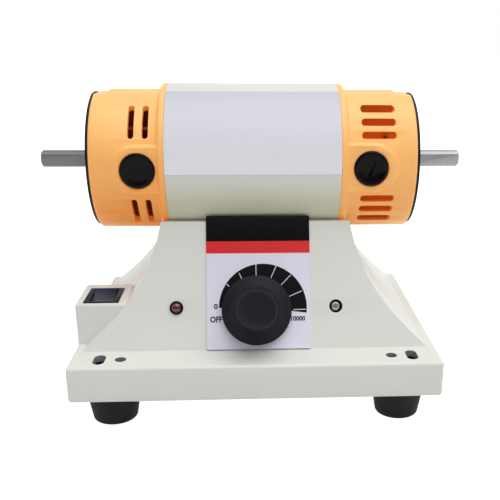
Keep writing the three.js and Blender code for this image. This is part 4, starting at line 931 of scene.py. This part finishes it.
# End plates and long screws: black pressed discs over the bells' ends.
# Two plated screws through each draw the motor together.
plate_thickness = 1.3
end_plate = turn_piece("end_plate", [
    (5.2, 0), (31.3, 0), (31.5, 0.2), (31.5, 1), (31.4, 1.2), (31.15, plate_thickness),
    (5.2, plate_thickness)], 160, bored=True)
for level in (-1, 1):
    screw_line = Matrix.Translation((level * bell_screw_ring * mm, 0, 0))
    join_or_cut(end_plate, add_bar(bell_screw_hole, -2, 3, 32, screw_line))
for end, frame_of_end in end_frames.items():
    disc = copy_of(end_plate, frame_of_end @ Matrix.Translation((bell_ends[end] * mm, 0, 0)) @ along_x)
    disc.name = end + "_end_disc"
    fit_piece(disc, abs_black, "matt_black", "pedestal", end + "_end_plate")
    for level, side in (("upper", 1), ("lower", -1)):
        screw = make_screw(f"{end}_{level}_long_screw", 3, 1.5, 1.5, bell_ends[end] - 9)
        outside = ((bell_ends[end] + plate_thickness) * mm, 0, side * bell_screw_ring * mm)
        set_down(screw, frame_of_end @ Matrix.Translation(outside) @ along_x)
        fit_piece(screw, zinc, "zinc_steel", "pedestal", f"{end}_{level}_bell_screw")
bpy.data.objects.remove(end_plate)

# Caps: glossy phenolic heads let into the bells' bosses, plain plugs at the left, slotted caps at the right.
# The slotted ones hold the brushes; they unscrew with a coin and stand as they were last tightened.
neck = [(5.2, -4), (5.5, -3.7), (5.5, 0), (7.8, 0)]
plug = turn_piece("plug", [
    *neck, (7.8, 0.9), (7.7, 1.35), (7.4, 1.68), (6.9, 1.8), (6.2, 1.72), (5, 1.5), (2, 1.42)])
brush_cap = turn_piece("brush_cap", [
    *neck, (7.8, 0.8), (7.65, 1.35), (7.25, 1.7), (6.7, 1.8), (6.3, 1.74), (6.05, 1.6), (2, 1.6)])
cut = add_block((-0.8, -3.75, 0.6), (0.8, 3.75, 3))
round_corners(cut, 0.3, 3)
set_down(cut, Matrix.Rotation(math.radians(-20), 4, "Z"))
join_or_cut(brush_cap, cut)
round_edges(brush_cap, 0.1, 2, 50)
onto_seat = Matrix.Translation((0, 0, cap_seat_height * mm))
for face in faces_out:
    head = copy_of(brush_cap, end_frames["right"] @ cap_seat("right", face) @ onto_seat)
    head.name = face + "_brush_cap_head"
    fit_piece(head, phenolic, "black_phenolic", "pedestal", face + "_brush_cap")
    other = "rear" if face == "front" else "front"
    head = copy_of(plug, end_frames["left"] @ cap_seat("left", face) @ onto_seat)
    head.name = other + "_plug_head"
    fit_piece(head, phenolic, "black_phenolic", "pedestal", other + "_blanking_plug")
bpy.data.objects.remove(plug)
bpy.data.objects.remove(brush_cap)

# Spindle: one ground steel bar right through the motor, turning in its two bearings.
# A flat is milled at each end, for the grub screw of a wheel or a chuck.
spindle = turn_piece("ground_spindle", [(3.4, -100.9), (4, -100.3), (4, 100.2), (3.4, 100.8)])
for low, high in ((-103, -76.9), (76.8, 103)):
    flat = add_block((-5, -5, low), (5, -3.2, high))
    join_or_cut(spindle, flat)
round_edges(spindle, 0.08, 2, 50)
set_down(spindle, motor_frame)
fit_piece(spindle, ground, "ground_steel", "rotor", "rotor_shaft")

# Studio: a pale floor under an even white room, and one broad soft light from above.
# The room is dimmer towards the left behind the camera, which only what shines on the piece shows.
clear_bench()
bpy.ops.mesh.primitive_plane_add(size=8, location=(0, 0, 0))
floor = bpy.context.object
floor.name = "studio_floor"
floor_paint, tree, shader, _ = new_finish(
    "floor_paint", 0.9, Specular_IOR_Level=0.0, Base_Color=colour("DADADA"))
seen = add_node(tree, "LightPath")
glow = add_node(tree, "Emission", {"Color": colour("FFFFFF"), "Strength": 0.88})
unlit = add_node(tree, "Emission", {"Strength": 0.0})
shiny = add_node(tree, "Math", {
    0: seen.outputs["Is Glossy Ray"], 1: seen.outputs["Is Transmission Ray"]}, operation="MAXIMUM")
watched = add_node(tree, "Math", {0: shiny, 1: seen.outputs["Is Camera Ray"]}, operation="MAXIMUM")
lift = add_node(tree, "MixShader", {0: watched, 1: unlit, 2: glow})
total = add_node(tree, "AddShader", {0: shader, 1: lift})
feed(tree.nodes["Material Output"], {"Surface": total})
floor.data.materials.append(floor_paint)

room = bpy.data.worlds.new("studio_room")
bpy.context.scene.world = room
room.use_nodes = True
tree = room.node_tree
background = tree.nodes["Background"]
seen = add_node(tree, "LightPath")
direction = add_node(tree, "TexCoord").outputs["Generated"]
split = add_node(tree, "SeparateXYZ", {"Vector": direction})
across = add_node(tree, "MapRange", {
    "Value": split.outputs["X"], "From Min": -0.25, "From Max": 0.25, "To Min": 0.03, "To Max": 0.42})
behind = add_node(tree, "MapRange", {
    "Value": split.outputs["Y"], "From Min": -0.9, "From Max": 0.1, "To Min": across, "To Max": 1.0})
above = add_node(tree, "MapRange", {
    "Value": split.outputs["Z"], "From Min": 0.3, "From Max": 0.8, "To Min": 0.0, "To Max": 1.0})
mirrored = add_node(tree, "Math", {0: behind, 1: above}, operation="MAXIMUM")
shiny = add_node(tree, "Math", {
    0: seen.outputs["Is Glossy Ray"], 1: seen.outputs["Is Transmission Ray"]}, operation="MAXIMUM")
lit = add_node(tree, "Mix", {"Factor": shiny, "A": 0.48, "B": mirrored}, data_type="FLOAT")
strength = add_node(tree, "Mix", {
    "Factor": seen.outputs["Is Camera Ray"], "A": lit, "B": 1.0}, data_type="FLOAT")
feed(background, {"Strength": strength, "Color": colour("FFFFFF")})

bpy.ops.object.light_add(type="SUN", rotation=(math.radians(9), math.radians(14), 0))
bpy.context.object.data.energy = 1.8
bpy.context.object.data.angle = math.radians(60)

# Camera: the photograph's place, height and lens.
# They are worked out from the base's corners and the spindle.
bpy.ops.object.camera_add()
camera = bpy.context.object
bpy.context.scene.camera = camera
pitch, yaw, roll = math.radians(19.0), math.radians(3.54), math.radians(0.54)
aim = Matrix.Rotation(-yaw, 4, "Z") @ Matrix.Rotation(math.pi / 2 - pitch, 4, "X")
camera.matrix_world = shift(-2.04, -356.94, 176.72) @ (aim @ Matrix.Rotation(roll, 4, "Z"))
camera.data.sensor_width = 36
camera.data.lens = 53.73
camera.data.shift_x = -0.0911
camera.data.shift_y = 0.0618
camera.data.clip_start = 0.01
camera.data.dof.use_dof = False
bpy.context.scene.view_settings.view_transform = "Standard"
